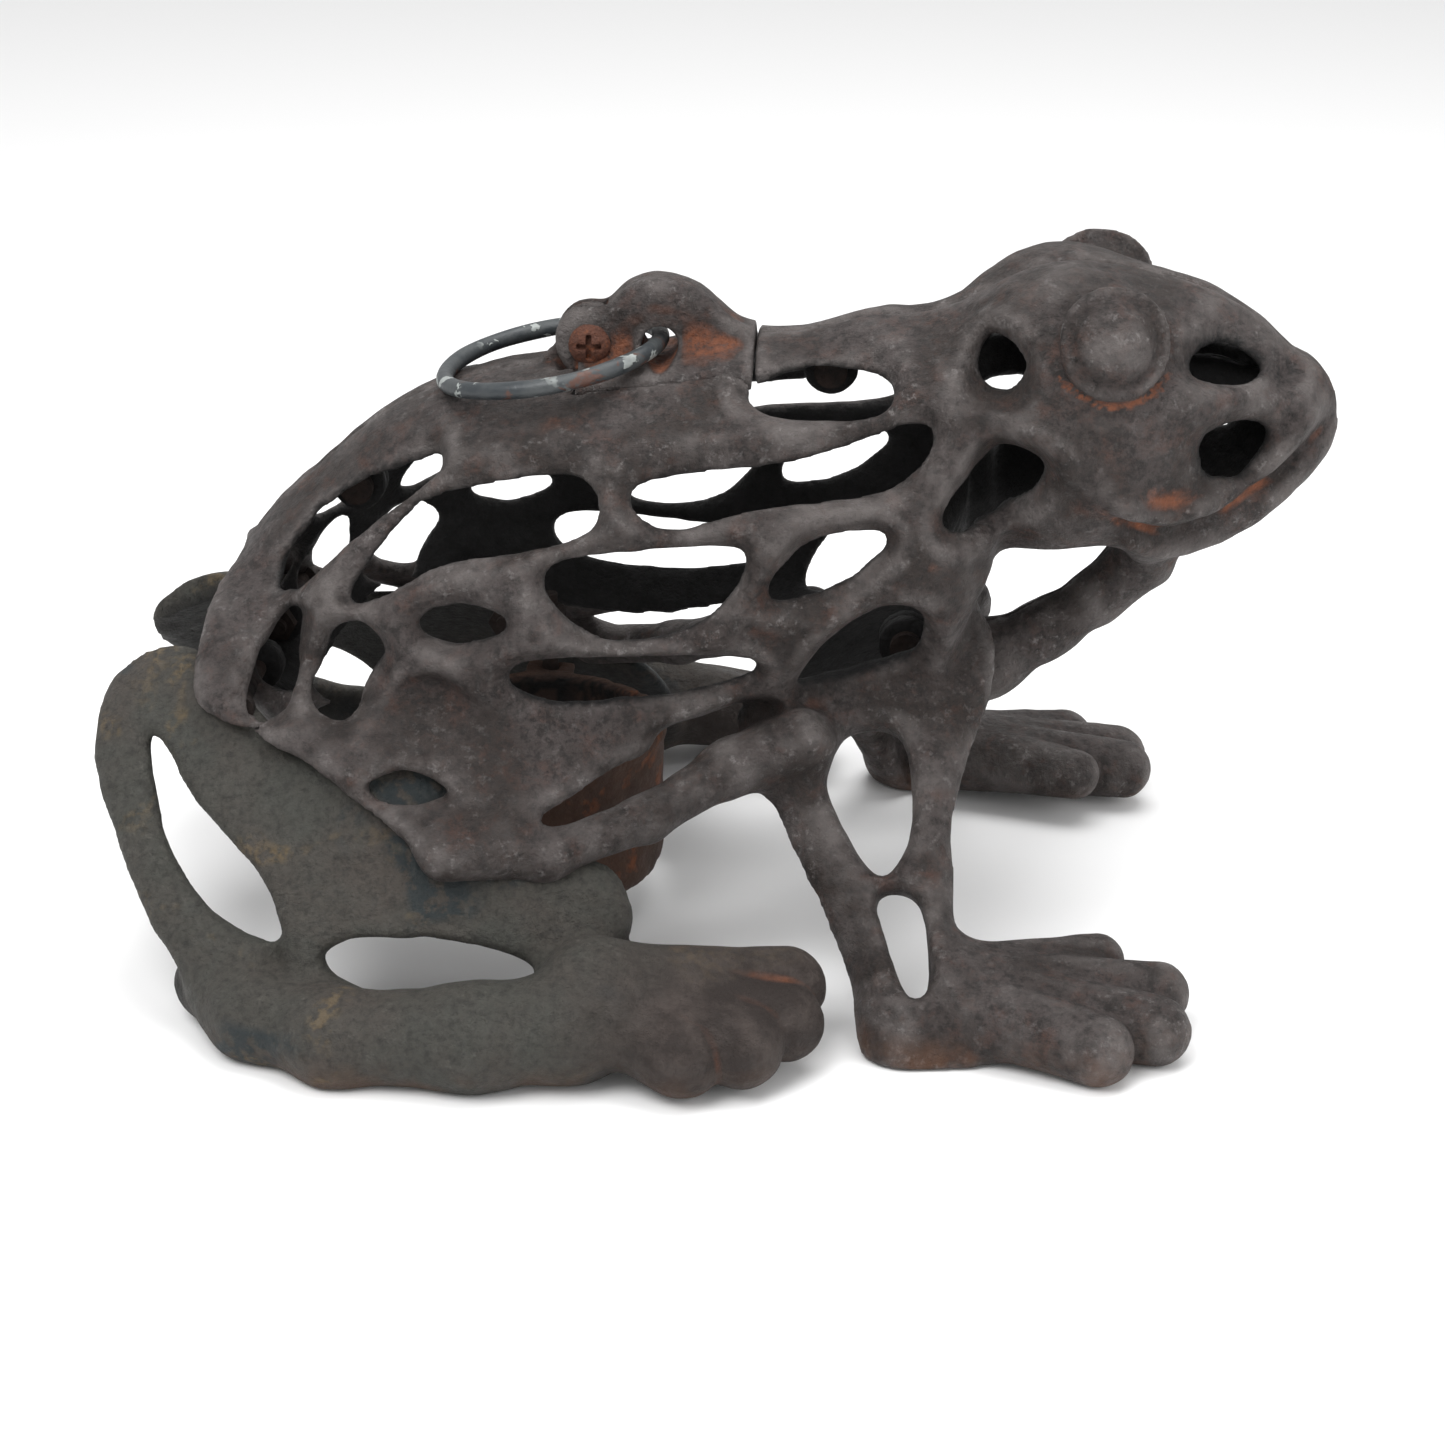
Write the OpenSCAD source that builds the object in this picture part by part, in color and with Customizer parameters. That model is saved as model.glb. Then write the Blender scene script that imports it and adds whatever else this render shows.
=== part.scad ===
// Pierced cast-iron frog lantern: two-part casing, splayed legs, hinged back hatch with a
// lifting ring, and a candle cup hung between the haunches. Millimetres, +X to the nose,
// +Z up, soles on z = 0.

/* [Body] */
// Pitch of the body's long axis above level
body_pitch = 14; // [12:1:16]
// Radius of the body where it is deepest
back_r = 52; // [51:0.5:53]
// Wall thickness of the pierced body and head
wall = 5; // [4:0.5:6]
// Height of the body axis above the soles at the hips
hip_z = 83; // [82:1:84]

/* [Head] */
// Height of the head's centre line
head_z = 124; // [123:1:125]
// Radius of the head where it is fullest
head_r = 36; // [35:0.5:37]
// Radius of each eye
eye_r = 11; // [9:1:12]

/* [Legs] */
// Outward lean of the front legs from the vertical
leg_lean = 41; // [39:1:43]
// Thickness of the front leg castings
leg_t = 8; // [6:1:10]
// Thickness of the haunch castings
haunch_t = 6; // [5:1:7]
// Radius of each toe's rounded end
toe_r = 7; // [5:0.5:8]

/* [Hatch and ring] */
// Length of the hatch opening along the back
hatch_l = 41; // [38:1:42]
// Width of the hatch opening
hatch_w = 36; // [32:1:38]
// Thickness of the lug that stands on the hatch
lug_t = 12; // [10:1:13]
// Radius of the hinge screw's shank
screw_r = 2.5; // [2:0.1:2.6]
// Radius of the ring's wire
wire_r = 2.1; // [1.8:0.1:2.3]
// Radius of the ring, to the middle of its wire
ring_r = 25.6; // [25:0.2:26]

/* [Candle cup] */
// Outer radius of the cup
cup_r = 31; // [28:1:31]
// Inside radius of the cup, which takes a tea light with room to spare
cup_in_r = 28; // [24:1:28]

/* [Hidden] */
$fn = 64;
eps = 0.02;
gap = 0.3;
seat_gap = 0.1;
far = 400;
split_x = 58;

// Body: place of its axis, and where along it the body is deepest
body_x = -44;
deep_s = 6;
rump_l = 89;
neck_l = 119;
neck_drop = 11;

// Head: from the nose back to its fullest part, and on to the crown
nose_x = 143;
nose_l = 61;
crown_l = 40;
brow_at = [80, -13, 147];
brow_r = 16;
eye_at = [87, -31, 150];
strut_r = 6.5;

// Hatch, lug and ring
hinge_x = -30;
hinge_z = 142;
knuckle_r = 8.5;
screw_head_r = 5;
tongue_t = 4;
run_gap = 0.08;
press_gap = 0.02;
lug_r = 15;
ring_hole_x = -14;
ring_hole_r = 4.15;
ring_tilt = 10.2;
hatch_back_x = -33;

// Candle cup and the ears that carry it
cup_x = -45;
cup_base_z = 6;
cup_floor = 3;
cup_round = 8;
cup_rim_z = 44;
ear_t = 3;
ear_reach = 40;
ear_w = 12;
boss_h = 12;
cup_screw_y = 36;

// M4 fasteners, and the bosses they pull together
m4_r = 2;
m4_hole_r = 2.1;
m4_head_r = 3.8;
m4_head_h = 2.6;
m4_nut_r = 4.04;
m4_nut_h = 3.2;
tab_r = 6.5;
tab_t = 4;
haunch_boss_r = 6;
haunch_boss_l = 30;
haunch_seat = 3;

// The haunches lie on a sphere
haunch_c = [-72, 74, -60];
haunch_r = 177;
leg_foot_y = -80;

iron = [0.27, 0.24, 0.23];
green_iron = [0.27, 0.29, 0.26];
rust = [0.36, 0.2, 0.14];
dark_paint = [0.16, 0.17, 0.19];

// Outlines of revolution, as distance from the closed end and radius. The rump swells from a
// blunt point and the body then tapers evenly to the neck; the head swells the same way.
BODY_LINE = concat(
    [for (a = [0:10:90]) [rump_l * (1 - cos(a)), back_r * pow(sin(a), 1.6)]],
    [[rump_l + neck_l, back_r - neck_drop]]);
HEAD_LINE = [for (a = [0:10:130])
    [nose_l - (a < 90 ? nose_l : crown_l) * cos(a), head_r * pow(sin(a), 1.5)]];

// Windows of one side in the side view, each a smooth closed curve through its corners
BODY_WINDOWS = [
    [[-66, 121], [-92, 105], [-112, 71], [-99, 90], [-78, 109]],
    [[-80, 93], [-65, 113], [-34, 120], [-31, 112], [-60, 104]],
    [[-15, 119], [14, 124], [49, 134], [42, 121], [8, 117], [-10, 113]],
    [[-35, 103], [-4, 106], [5, 103], [-4, 90], [-24, 88]],
    [[15, 95], [24, 108], [41, 109], [30, 99]],
    [[20, 67], [27, 81], [40, 91], [48, 88], [46, 75], [32, 67]],
    [[-64, 89], [-56, 93], [-48, 90], [-56, 86]],
    [[-43, 75], [-36, 80], [1, 79], [3, 74], [-30, 68]],
    [[-67, 70], [-58, 73], [-54, 63], [-63, 63]],
    [[-104, 60], [-102, 70], [-97, 71], [-99, 60]],
    [[-90, 58], [-85, 74], [-78, 75], [-85, 57]],
    [[9, 136], [20, 140], [35, 141], [33, 135], [18, 133]]];
HEAD_WINDOWS = [
    [[105, 145], [112, 147], [118, 141], [109, 140]],
    [[107, 130], [114, 132], [121, 127], [119, 117], [109, 119]],
    [[59, 141], [63, 148], [69, 143], [67, 136], [61, 135]],
    [[50, 102], [62, 117], [71, 126], [69, 116], [58, 101]]];
HAUNCH_LINE = [[-112, 84], [-134, 72], [-143, 54], [-133, 30], [-110, 4], [-30, 3], [-14, 20],
    [-24, 40], [-44, 62], [-70, 84]];
HAUNCH_WINDOWS = [
    [[-124, 53], [-110, 45], [-99, 36], [-98, 28], [-118, 36]],
    [[-82, 19], [-76, 23], [-49, 22], [-42, 16], [-62, 12]]];

// The front leg in its own leaning plane, across and up from the sole
LEG_LINE = [[3, 80], [16, 50], [34, 8], [38, -6], [62, -6], [56, 28], [53, 58], [64, 92],
    [56, 108], [6, 108]];
LEG_WINDOWS = [
    [[29, 62], [34, 73], [42, 70], [42, 48], [37, 46]],
    [[39, 35], [47, 35], [49, 18], [44, 19]]];

// Feet in plan: the pad, then the ankle from which the toes fan out as [angle, length]
FRONT_PAD = [[36, -70], [42, -87], [66, -88], [84, -80], [90, -62], [80, -48], [60, -54]];
FRONT_ANKLE = [48, -70];
FRONT_TOES = [[-25, 40], [-8, 47], [8, 53], [24, 50]];
REAR_PAD = [[-118, -66], [-96, -95], [-60, -107], [-14, -106], [6, -92], [8, -72], [-14, -64],
    [-60, -76], [-100, -60]];
REAR_ANKLE = [-30, -85];
REAR_TOES = [[-32, 32], [-17, 42], [-2, 50], [14, 50]];

// The tops of the feet in the side view: what lies above these lines is cut away
FRONT_INSTEP = [[30, 23], [44, 17], [58, 13], [90, 14], [102, 11], [110, 5], [120, 5],
    [120, 40], [30, 40]];
REAR_INSTEP = [[-125, 8], [-100, 10], [-60, 12], [-30, 18], [-10, 24], [6, 22], [18, 17],
    [28, 9], [40, 9], [40, 40], [-125, 40]];

// Places of the screws, as x and z in the side view; a haunch screw's third value is the y
// of the pad inside the casing that its nut bears on
CASING_SCREWS = [[-85, 106.5], [25, 136.4], [43.5, 69]];
HAUNCH_SCREWS = [[-108, 66, -12.5], [-56, 59, -36]];

// A point between b and c on the smooth curve through a, b, c and d
function curve_point(a, b, c, d, t) = (2 * b + (c - a) * t
    + (2 * a - 5 * b + 4 * c - d) * pow(t, 2) + (3 * b - a - 3 * c + d) * pow(t, 3)) / 2;

// The smooth closed curve through an outline's points, in n steps between points
function smooth(line, n = 3) = let (m = len(line)) [for (i = [0:m - 1], k = [0:n - 1])
    curve_point(line[(i + m - 1) % m], line[i], line[(i + 1) % m], line[(i + 2) % m], k / n)];

// Depth of the haunch's outer face at a place in the side view
function haunch_y(p) = haunch_c[1]
    - sqrt(pow(haunch_r, 2) - pow(p[0] - haunch_c[0], 2) - pow(p[1] - haunch_c[2], 2));

// Leaves only the right-hand half, y < 0
module right_half() {
    intersection() {
        children();
        translate([-far, -far, -far]) cube([2 * far, far, 2 * far]);
    }
}

module mirror_if(side) {
    if (side) mirror([0, 1, 0]) children();
    else children();
}

module mirrored() {
    mirror([0, 1, 0]) children();
}

// A solid of revolution with its closed end at z = 0, drawn in by inset
module turned(line, inset) {
    rotate_extrude()
        polygon(concat([[0, inset]],
            [for (p = line) if (p[1] > inset && p[0] > inset) [p[1] - inset, p[0]]],
            [[0, line[len(line) - 1][0]]]));
}

module body_turned(inset) {
    translate([body_x, 0, hip_z]) rotate([0, 90 - body_pitch, 0])
        translate([0, 0, deep_s - rump_l]) turned(BODY_LINE, inset);
}

module head_turned(inset) {
    translate([nose_x, 0, head_z]) rotate([0, -90, 0]) turned(HEAD_LINE, inset);
}

// Cuts a side-view outline through one side
module window(line) {
    translate([0, 1, 0]) rotate([90, 0, 0]) linear_extrude(120) polygon(smooth(line));
}

// A round bar along Y
module cross_bar(x, z, y1, y2, r) {
    translate([x, y2, z]) rotate([90, 0, 0]) cylinder(r = r, h = y2 - y1);
}

// A hexagonal bar along Y
module cross_hex(x, z, y1, y2, r) {
    translate([x, y2, z]) rotate([90, 0, 0]) cylinder(r = r, h = y2 - y1, $fn = 6);
}

// A round bar between two points
module rod(a, b, r) {
    d = b - a;
    translate(a) rotate([0, acos(d[2] / norm(d)), atan2(d[1], d[0])]) cylinder(r = r, h = norm(d));
}

// Cuts away what lies above an instep line
module above_instep(line) {
    rotate([90, 0, 0]) linear_extrude(far / 2) polygon(line);
}

// A flat foot in plan: a pad and toes that fan out from the ankle
module foot_plan(pad, ankle, toes) {
    polygon(smooth(pad));
    for (t = toes) {
        translate(ankle) rotate(t[0]) {
            translate([0, -toe_r]) square([t[1], 2 * toe_r]);
            translate([t[1], 0]) circle(r = toe_r);
        }
    }
}

module hatch_space(clear) {
    translate([hatch_back_x + clear, -hatch_w / 2 + clear, hip_z])
        cube([hatch_l - 2 * clear, hatch_w - 2 * clear, far / 4]);
}

// Trims what stands inside the casing to the middle of its wall
module within_wall() {
    intersection() {
        children();
        body_turned(wall / 2);
    }
}

module shell_half() {
    difference() {
        right_half() {
            difference() {
                body_turned(0);
                body_turned(wall);
                for (line = BODY_WINDOWS) window(line);
            }
            within_wall() casing_tabs();
            within_wall() haunch_pads();
            within_wall() cup_boss();
        }
        translate([split_x, -far / 2, 0]) cube(far);
        hatch_space(0);
        cup_space();
        cross_bar(hinge_x, hinge_z, -lug_t / 2 - 1, 1, knuckle_r + 1);
        casing_holes();
        cup_hole();
        haunch_holes();
    }
    tongue_half();
}

// Half of the fixed tongue that carries the hinge screw
module tongue_half() {
    root_z = hinge_z - 14;
    difference() {
        union() {
            cross_bar(hinge_x, hinge_z, -tongue_t / 2, 0, knuckle_r);
            translate([hatch_back_x - 8, -tongue_t / 2, root_z]) cube([8, tongue_t / 2, 12]);
        }
        cross_bar(hinge_x, hinge_z, -far, far, screw_r + run_gap / 2);
        hatch_sweep();
    }
}

// Room under the knuckle for the hatch plate as it turns
module hatch_sweep() {
    difference() {
        translate([hatch_back_x, -far / 2, hinge_z - 42]) cube([hatch_l, far, 34]);
        cross_bar(hinge_x, hinge_z, -far, far, knuckle_r);
    }
}

module casing_tabs() {
    for (p = CASING_SCREWS) cross_bar(p[0], p[1], -tab_t, 1, tab_r);
}

module casing_holes() {
    for (p = CASING_SCREWS) cross_bar(p[0], p[1], -far, far, m4_hole_r);
}

module haunch_pads() {
    for (p = HAUNCH_SCREWS) cross_bar(p[0], p[1], p[2] - 6, p[2], haunch_boss_r);
}

module cup_boss() {
    translate([cup_x - ear_w / 2, -ear_reach, cup_rim_z + ear_t]) cube([ear_w, 8, boss_h]);
}

// Room in the casing for the cup, its ears and the heads of its screws
module cup_space() {
    ear_space_h = ear_t + m4_head_h + 1;
    translate([cup_x, 0, -eps]) cylinder(r = cup_r + 2, h = cup_rim_z + ear_t + eps);
    translate([cup_x - ear_w / 2 - gap, -ear_reach - gap, cup_rim_z + ear_t - ear_space_h])
        cube([ear_w + 2 * gap, ear_reach + 1, ear_space_h]);
}

module cup_hole() {
    translate([cup_x, -cup_screw_y, 0]) cylinder(r = m4_hole_r, h = far / 5);
}

module haunch_holes() {
    for (p = HAUNCH_SCREWS) cross_bar(p[0], p[1], -far, 0, m4_hole_r);
}

// Flat seats for the heads of the haunch screws
module haunch_seats() {
    for (p = HAUNCH_SCREWS)
        cross_bar(p[0], p[1], -far, haunch_y(p) + haunch_seat, m4_head_r + gap);
}

module shell_right() {
    color(iron) shell_half();
}

module shell_left() {
    color(iron) mirrored() shell_half();
}

module head_half() {
    difference() {
        right_half() {
            difference() {
                union() {
                    head_turned(0);
                    translate(brow_at) sphere(r = brow_r);
                    translate(eye_at) sphere(r = eye_r);
                    cross_bar(eye_at[0], eye_at[2], eye_at[1] - 6, brow_at[1], eye_r + 2);
                }
                head_turned(wall);
            }
            rod([50, 0, 62], [100, 0, 94], strut_r);
        }
        translate([split_x - far, -far / 2, 0]) cube(far);
        for (line = HEAD_WINDOWS) window(line);
    }
}

module head_right() {
    color(iron) head_half();
}

module head_left() {
    color(iron) mirrored() head_half();
}

// A leaning pierced plate
module leg_plate() {
    translate([0, leg_foot_y, 0]) rotate([90 - leg_lean, 0, 0]) difference() {
        linear_extrude(leg_t, center = true) polygon(smooth(LEG_LINE));
        for (line = LEG_WINDOWS)
            linear_extrude(3 * leg_t, center = true) polygon(smooth(line));
    }
}

module front_leg() {
    difference() {
        union() {
            leg_plate();
            difference() {
                linear_extrude(22) foot_plan(FRONT_PAD, FRONT_ANKLE, FRONT_TOES);
                above_instep(FRONT_INSTEP);
            }
        }
        body_turned(-seat_gap);
        translate([-far / 2, -far / 2, -far]) cube(far);
        translate([split_x, -60, 50]) cube(60);
    }
}

module front_leg_right() {
    color(iron) front_leg();
}

module front_leg_left() {
    color(iron) mirrored() front_leg();
}

// A domed pierced plate that leans out from the casing on two bosses
module haunch() {
    difference() {
        haunch_bosses();
        body_turned(-seat_gap);
        haunch_holes();
        haunch_seats();
    }
    difference() {
        intersection() {
            difference() {
                translate(haunch_c) sphere(r = haunch_r, $fn = 128);
                translate(haunch_c) sphere(r = haunch_r - haunch_t, $fn = 128);
            }
            window(HAUNCH_LINE);
        }
        body_turned(-seat_gap);
        for (line = HAUNCH_WINDOWS) window(line);
        haunch_holes();
        haunch_seats();
    }
}

module haunch_bosses() {
    for (p = HAUNCH_SCREWS) {
        y = haunch_y(p);
        cross_bar(p[0], p[1], y + 1, y + haunch_boss_l, haunch_boss_r);
    }
}

module haunch_right() {
    color(green_iron) haunch();
}

module haunch_left() {
    color(green_iron) mirrored() haunch();
}

module rear_foot() {
    difference() {
        linear_extrude(24) foot_plan(REAR_PAD, REAR_ANKLE, REAR_TOES);
        translate(haunch_c) sphere(r = haunch_r + seat_gap, $fn = 128);
        above_instep(REAR_INSTEP);
    }
}

module rear_foot_right() {
    color(green_iron) rear_foot();
}

module rear_foot_left() {
    color(green_iron) mirrored() rear_foot();
}

// The lug: a round eye for the ring, a knuckle for the screw and a ridge towards the neck
module lug() {
    cross_bar(ring_hole_x, hinge_z, -lug_t / 2, lug_t / 2, lug_r);
    cross_bar(hinge_x, hinge_z, -lug_t / 2, lug_t / 2, knuckle_r);
    translate([0, lug_t / 2, 0]) rotate([90, 0, 0]) linear_extrude(lug_t)
        polygon([[-26, 131], [7, 137], [7, 144], [-4, 151]]);
}

module hatch() {
    color(iron) difference() {
        union() {
            intersection() {
                body_turned(0);
                hatch_space(gap);
            }
            lug();
        }
        body_turned(wall);
        cross_bar(hinge_x, hinge_z, -tongue_t / 2 - gap, tongue_t / 2 + gap, knuckle_r + 0.7);
        cross_bar(hinge_x, hinge_z, -far, far, screw_r + run_gap);
        cross_bar(ring_hole_x, hinge_z, -far, far, ring_hole_r);
        for (y = [-far - lug_t / 2, lug_t / 2])
            cross_bar(hinge_x, hinge_z, y, y + far, screw_head_r + gap);
    }
}

// Cross-headed pan screw along Y with its head on the right
module hinge_screw() {
    head_y = -lug_t / 2 - gap + seat_gap;
    color(rust) difference() {
        union() {
            cross_bar(hinge_x, hinge_z, head_y, lug_t / 2 + 6, screw_r);
            cross_bar(hinge_x, hinge_z, head_y - 2, head_y, screw_head_r);
            cross_bar(hinge_x, hinge_z, head_y - 2.8, head_y, screw_head_r - 1);
        }
        for (a = [0, 90]) {
            translate([hinge_x, head_y - 2.3, hinge_z]) rotate([0, a, 0])
                cube([5.4, 2.6, 1.1], center = true);
        }
    }
}

module hinge_nut() {
    nut_y = lug_t / 2 + gap - seat_gap;
    color(rust) difference() {
        cross_hex(hinge_x, hinge_z, nut_y, nut_y + 4, 4.62);
        cross_bar(hinge_x, hinge_z, -far, far, screw_r + press_gap);
    }
}

module lifting_ring() {
    color(dark_paint) translate([ring_hole_x, 0, hinge_z]) rotate([0, -ring_tilt, 0])
        translate([-ring_r, 0, 0]) rotate_extrude() translate([ring_r, 0]) circle(r = wire_r);
}

module candle_cup() {
    top_z = cup_rim_z + ear_t;
    color(rust) difference() {
        union() {
            translate([cup_x, 0, cup_base_z]) rotate_extrude() polygon(concat(
                [[0, 0]],
                [for (a = [0:15:90])
                    [cup_r - cup_round * (1 - sin(a)), cup_round * (1 - cos(a))]],
                [[cup_r, top_z - cup_base_z], [0, top_z - cup_base_z]]));
            for (s = [-1, 1]) {
                translate([cup_x - ear_w / 2, s > 0 ? cup_r - 2 : -ear_reach, cup_rim_z])
                    cube([ear_w, ear_reach - cup_r + 2, ear_t]);
            }
        }
        translate([cup_x, 0, cup_base_z + cup_floor]) cylinder(r = cup_in_r, h = far / 5);
        for (s = [-1, 1]) {
            translate([cup_x, s * cup_screw_y, 0]) cylinder(r = m4_hole_r, h = far / 5);
        }
    }
}

module cup_screws() {
    color(rust) for (s = [-1, 1]) {
        translate([cup_x, s * cup_screw_y, cup_rim_z - seat_gap - m4_head_h]) {
            cylinder(r = m4_head_r, h = m4_head_h);
            cylinder(r = m4_r, h = m4_head_h + ear_t + boss_h + 7);
        }
    }
}

module cup_nuts() {
    color(rust) for (s = [-1, 1]) {
        translate([cup_x, s * cup_screw_y, cup_rim_z + ear_t + boss_h + seat_gap]) difference() {
            cylinder(r = m4_nut_r, h = m4_nut_h, $fn = 6);
            translate([0, 0, -1]) cylinder(r = m4_r + press_gap, h = m4_nut_h + 2);
        }
    }
}

module casing_screws() {
    head_y = -tab_t - seat_gap;
    color(rust) for (p = CASING_SCREWS) {
        cross_bar(p[0], p[1], head_y - m4_head_h, head_y, m4_head_r);
        cross_bar(p[0], p[1], head_y - seat_gap, tab_t + 4.5, m4_r);
    }
}

module casing_nuts() {
    nut_y = tab_t + seat_gap;
    color(rust) for (p = CASING_SCREWS) {
        difference() {
            cross_hex(p[0], p[1], nut_y, nut_y + m4_nut_h, m4_nut_r);
            cross_bar(p[0], p[1], -far, far, m4_r + press_gap);
        }
    }
}

module haunch_screws() {
    color(rust) for (p = HAUNCH_SCREWS, side = [0, 1]) {
        head_y = haunch_y(p) + haunch_seat - seat_gap;
        mirror_if(side) {
            cross_bar(p[0], p[1], head_y - m4_head_h, head_y, m4_head_r);
            cross_bar(p[0], p[1], head_y - seat_gap, p[2] + m4_nut_h + 2, m4_r);
        }
    }
}

module haunch_nuts() {
    color(rust) for (p = HAUNCH_SCREWS, side = [0, 1]) {
        nut_y = p[2] + seat_gap;
        mirror_if(side) difference() {
            cross_hex(p[0], p[1], nut_y, nut_y + m4_nut_h, m4_nut_r);
            cross_bar(p[0], p[1], -far, 0, m4_r + press_gap);
        }
    }
}

shell_right();
shell_left();
head_right();
head_left();
front_leg_right();
front_leg_left();
haunch_right();
haunch_left();
rear_foot_right();
rear_foot_left();
hatch();
hinge_screw();
hinge_nut();
lifting_ring();
candle_cup();
cup_screws();
cup_nuts();
casing_screws();
casing_nuts();
haunch_screws();
haunch_nuts();
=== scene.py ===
"""Looks for the pierced cast-iron frog lantern: castings, hatch, ring, screw and cup.

Each casting is a distance field in millimetres, in the frame's own axes, meshed by a surface
net. The left-hand castings are mirror copies of the right-hand ones.
"""
import math

import bpy
import numpy as np
from mathutils import Matrix, Vector


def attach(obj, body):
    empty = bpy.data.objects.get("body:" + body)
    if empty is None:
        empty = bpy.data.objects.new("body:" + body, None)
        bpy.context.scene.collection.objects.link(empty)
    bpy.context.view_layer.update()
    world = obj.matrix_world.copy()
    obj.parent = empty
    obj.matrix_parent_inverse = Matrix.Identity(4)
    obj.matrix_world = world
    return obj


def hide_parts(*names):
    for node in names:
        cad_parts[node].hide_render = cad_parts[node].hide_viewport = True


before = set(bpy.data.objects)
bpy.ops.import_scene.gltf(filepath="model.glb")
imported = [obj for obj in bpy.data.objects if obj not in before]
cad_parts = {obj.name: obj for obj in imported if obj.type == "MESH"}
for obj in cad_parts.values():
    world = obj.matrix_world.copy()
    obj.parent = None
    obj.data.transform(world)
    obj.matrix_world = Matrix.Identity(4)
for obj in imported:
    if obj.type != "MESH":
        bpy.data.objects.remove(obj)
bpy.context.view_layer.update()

MM = 0.001
CASTING_STEP = 1.1
SMALL_STEP = 0.65

# ---------------------------------------------------------------- body, mm
BODY_AT = (-44.0, 83.0)
BODY_PITCH = math.radians(14)
DEEP_AT, RUMP_L, NECK_L = 6.0, 89.0, 119.0
BODY_TALL, NECK_DROP = 52.0, 11.0
BODY_WIDE, NECK_NARROWING = 55.0, 20.0
CHEST_X, CHEST_ROUND = 63.0, 14.0
# The smaller the power, the fuller the rump
RUMP_TALL_POWER, RUMP_WIDE_POWER, LEAST_R = 0.8, 0.54, 1.0
WALL = 5.5
CASING_SPACE = ((-132, -98, -2), (146, 0, 178))

# ---------------------------------------------------------------- head, mm
HEAD_AT = (83.0, 125.5)
NOSE_L, CROWN_L = 60.0, 42.0
HEAD_TALL, HEAD_WIDE = 35.5, 37.0
HEAD_TALL_POWER, HEAD_WIDE_POWER, HEAD_LEAST_R = 0.68, 0.96, 0.6
HEAD_FROM_X, HEAD_WINDOWS_FROM_X, BODY_WINDOWS_TO_X = 48.0, 90.0, 73.0
BROW_AT, BROW_RADII = (75.5, -12, 145.5), (17, 13, 15)
EYE_AT, EYE_FACING = (87.3, -29.2, 150.4), (0.1, -0.92, 0.38)
EYE_R, EYE_DEPTH, EYE_RIM_R, EYE_RIM_T = 11.0, 3.2, 11.0, 1.6
EYE_RIM_OUT, EYE_SEAT_HALF, EYE_CREASE = 1.0, 6.0, 0.6

# Windows of one side in the side view, each a smooth closed curve through its corners
BODY_WINDOWS = [
    [(-64, 123), (-93, 107), (-115, 69), (-99, 91), (-78, 111)],
    [(-81, 94), (-65, 114), (-34, 121), (-29, 112), (-60, 105)],
    [(-16, 120), (14, 124), (45, 132), (38, 121), (8, 117), (-11, 113)],
    [(-35, 103), (-4, 106), (6, 104), (-4, 90), (-24, 88)],
    [(14, 96), (22, 107), (37, 108), (27, 98)],
    [(21, 68), (27, 81), (38, 89), (46, 86), (44, 74), (32, 67)],
    [(-64, 90), (-56, 94), (-47, 91), (-56, 87)],
    [(-43, 76), (-36, 81), (2, 79), (5, 74), (-30, 68)],
    [(-68, 70), (-61, 75), (-53, 66), (-63, 64)],
    [(8, 138), (20, 142), (36, 141), (34, 136), (18, 135)]]
HEAD_WINDOWS = [
    [(108, 146), (112, 148), (117, 144), (112, 144)],
    [(111, 127), (116, 129), (120, 127), (117, 117), (112, 120)]]
# The ear hole and the slot go straight through the side of the neck, short of the mid-plane
NECK_WINDOWS = [
    [(60, 142), (62, 147), (65, 146), (66, 143), (63, 140)],
    [(53, 111), (57, 118), (64, 125), (71, 124), (69, 118), (60, 111)]]
NECK_WINDOWS_Y = -14.0
LOW_WINDOWS = [
    [(-75, 56), (-67, 59), (-58, 55), (-67, 53)],
    [(-105, 69), (-101, 83), (-94, 86), (-96, 69)],
    [(-90, 70), (-87, 81), (-80, 86), (-75, 81), (-81, 68)]]
# What is left open under the hips, and what the head and chest stand clear of at the throat
BELLY = [(-104, 20), (-88, 64), (-60, 60), (-30, 58), (-6, 61), (10, 66), (16, 54), (10, 20)]
THROAT = [(56, 70), (59, 86), (66, 94), (77, 99), (88, 101), (94, 94), (98, 66), (70, 54)]

# The part of the casing that lies on the haunch, and the strip that runs on to the leg
SKIRT = [(-119, 79), (-117, 67), (-100, 62), (-88, 58), (-56, 41), (-38, 49), (-25, 55),
         (-13, 60), (-16, 74), (-60, 90), (-110, 90)]
BELLY_STRIP = [(-58, -72, 43, 5), (-36, -66, 41, 5), (-14, -55, 46, 5), (4, -44, 54, 6),
               (20, -40, 60, 7)]
CHIN_STRUT = [(50, 0, 59, 10), (63, 0, 65, 8.5), (77, 0, 73, 6.6), (88, 0, 81, 6),
              (98, 0, 91, 8)]
MUZZLE_WEB = [(98, 0, 136, 6), (112, 0, 134, 5), (126, 0, 130, 6)]

# Each window's edge dips, with a bead round it; the castings' seam is a shallow groove
WINDOW_DIP, WINDOW_DIP_REACH = 2.4, 3.4
HEAD_DIP, HEAD_DIP_REACH = 1.5, 5.0
BEAD_AT, BEAD_HIGH, BEAD_REACH = 6.0, 0.9, 2.4
SEAM_DEEP, SEAM_REACH, SEAM_CLOSE = 0.7, 1.2, 0.3
NOSE_END, NOSE_FADE = 142.0, 12.0

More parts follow.
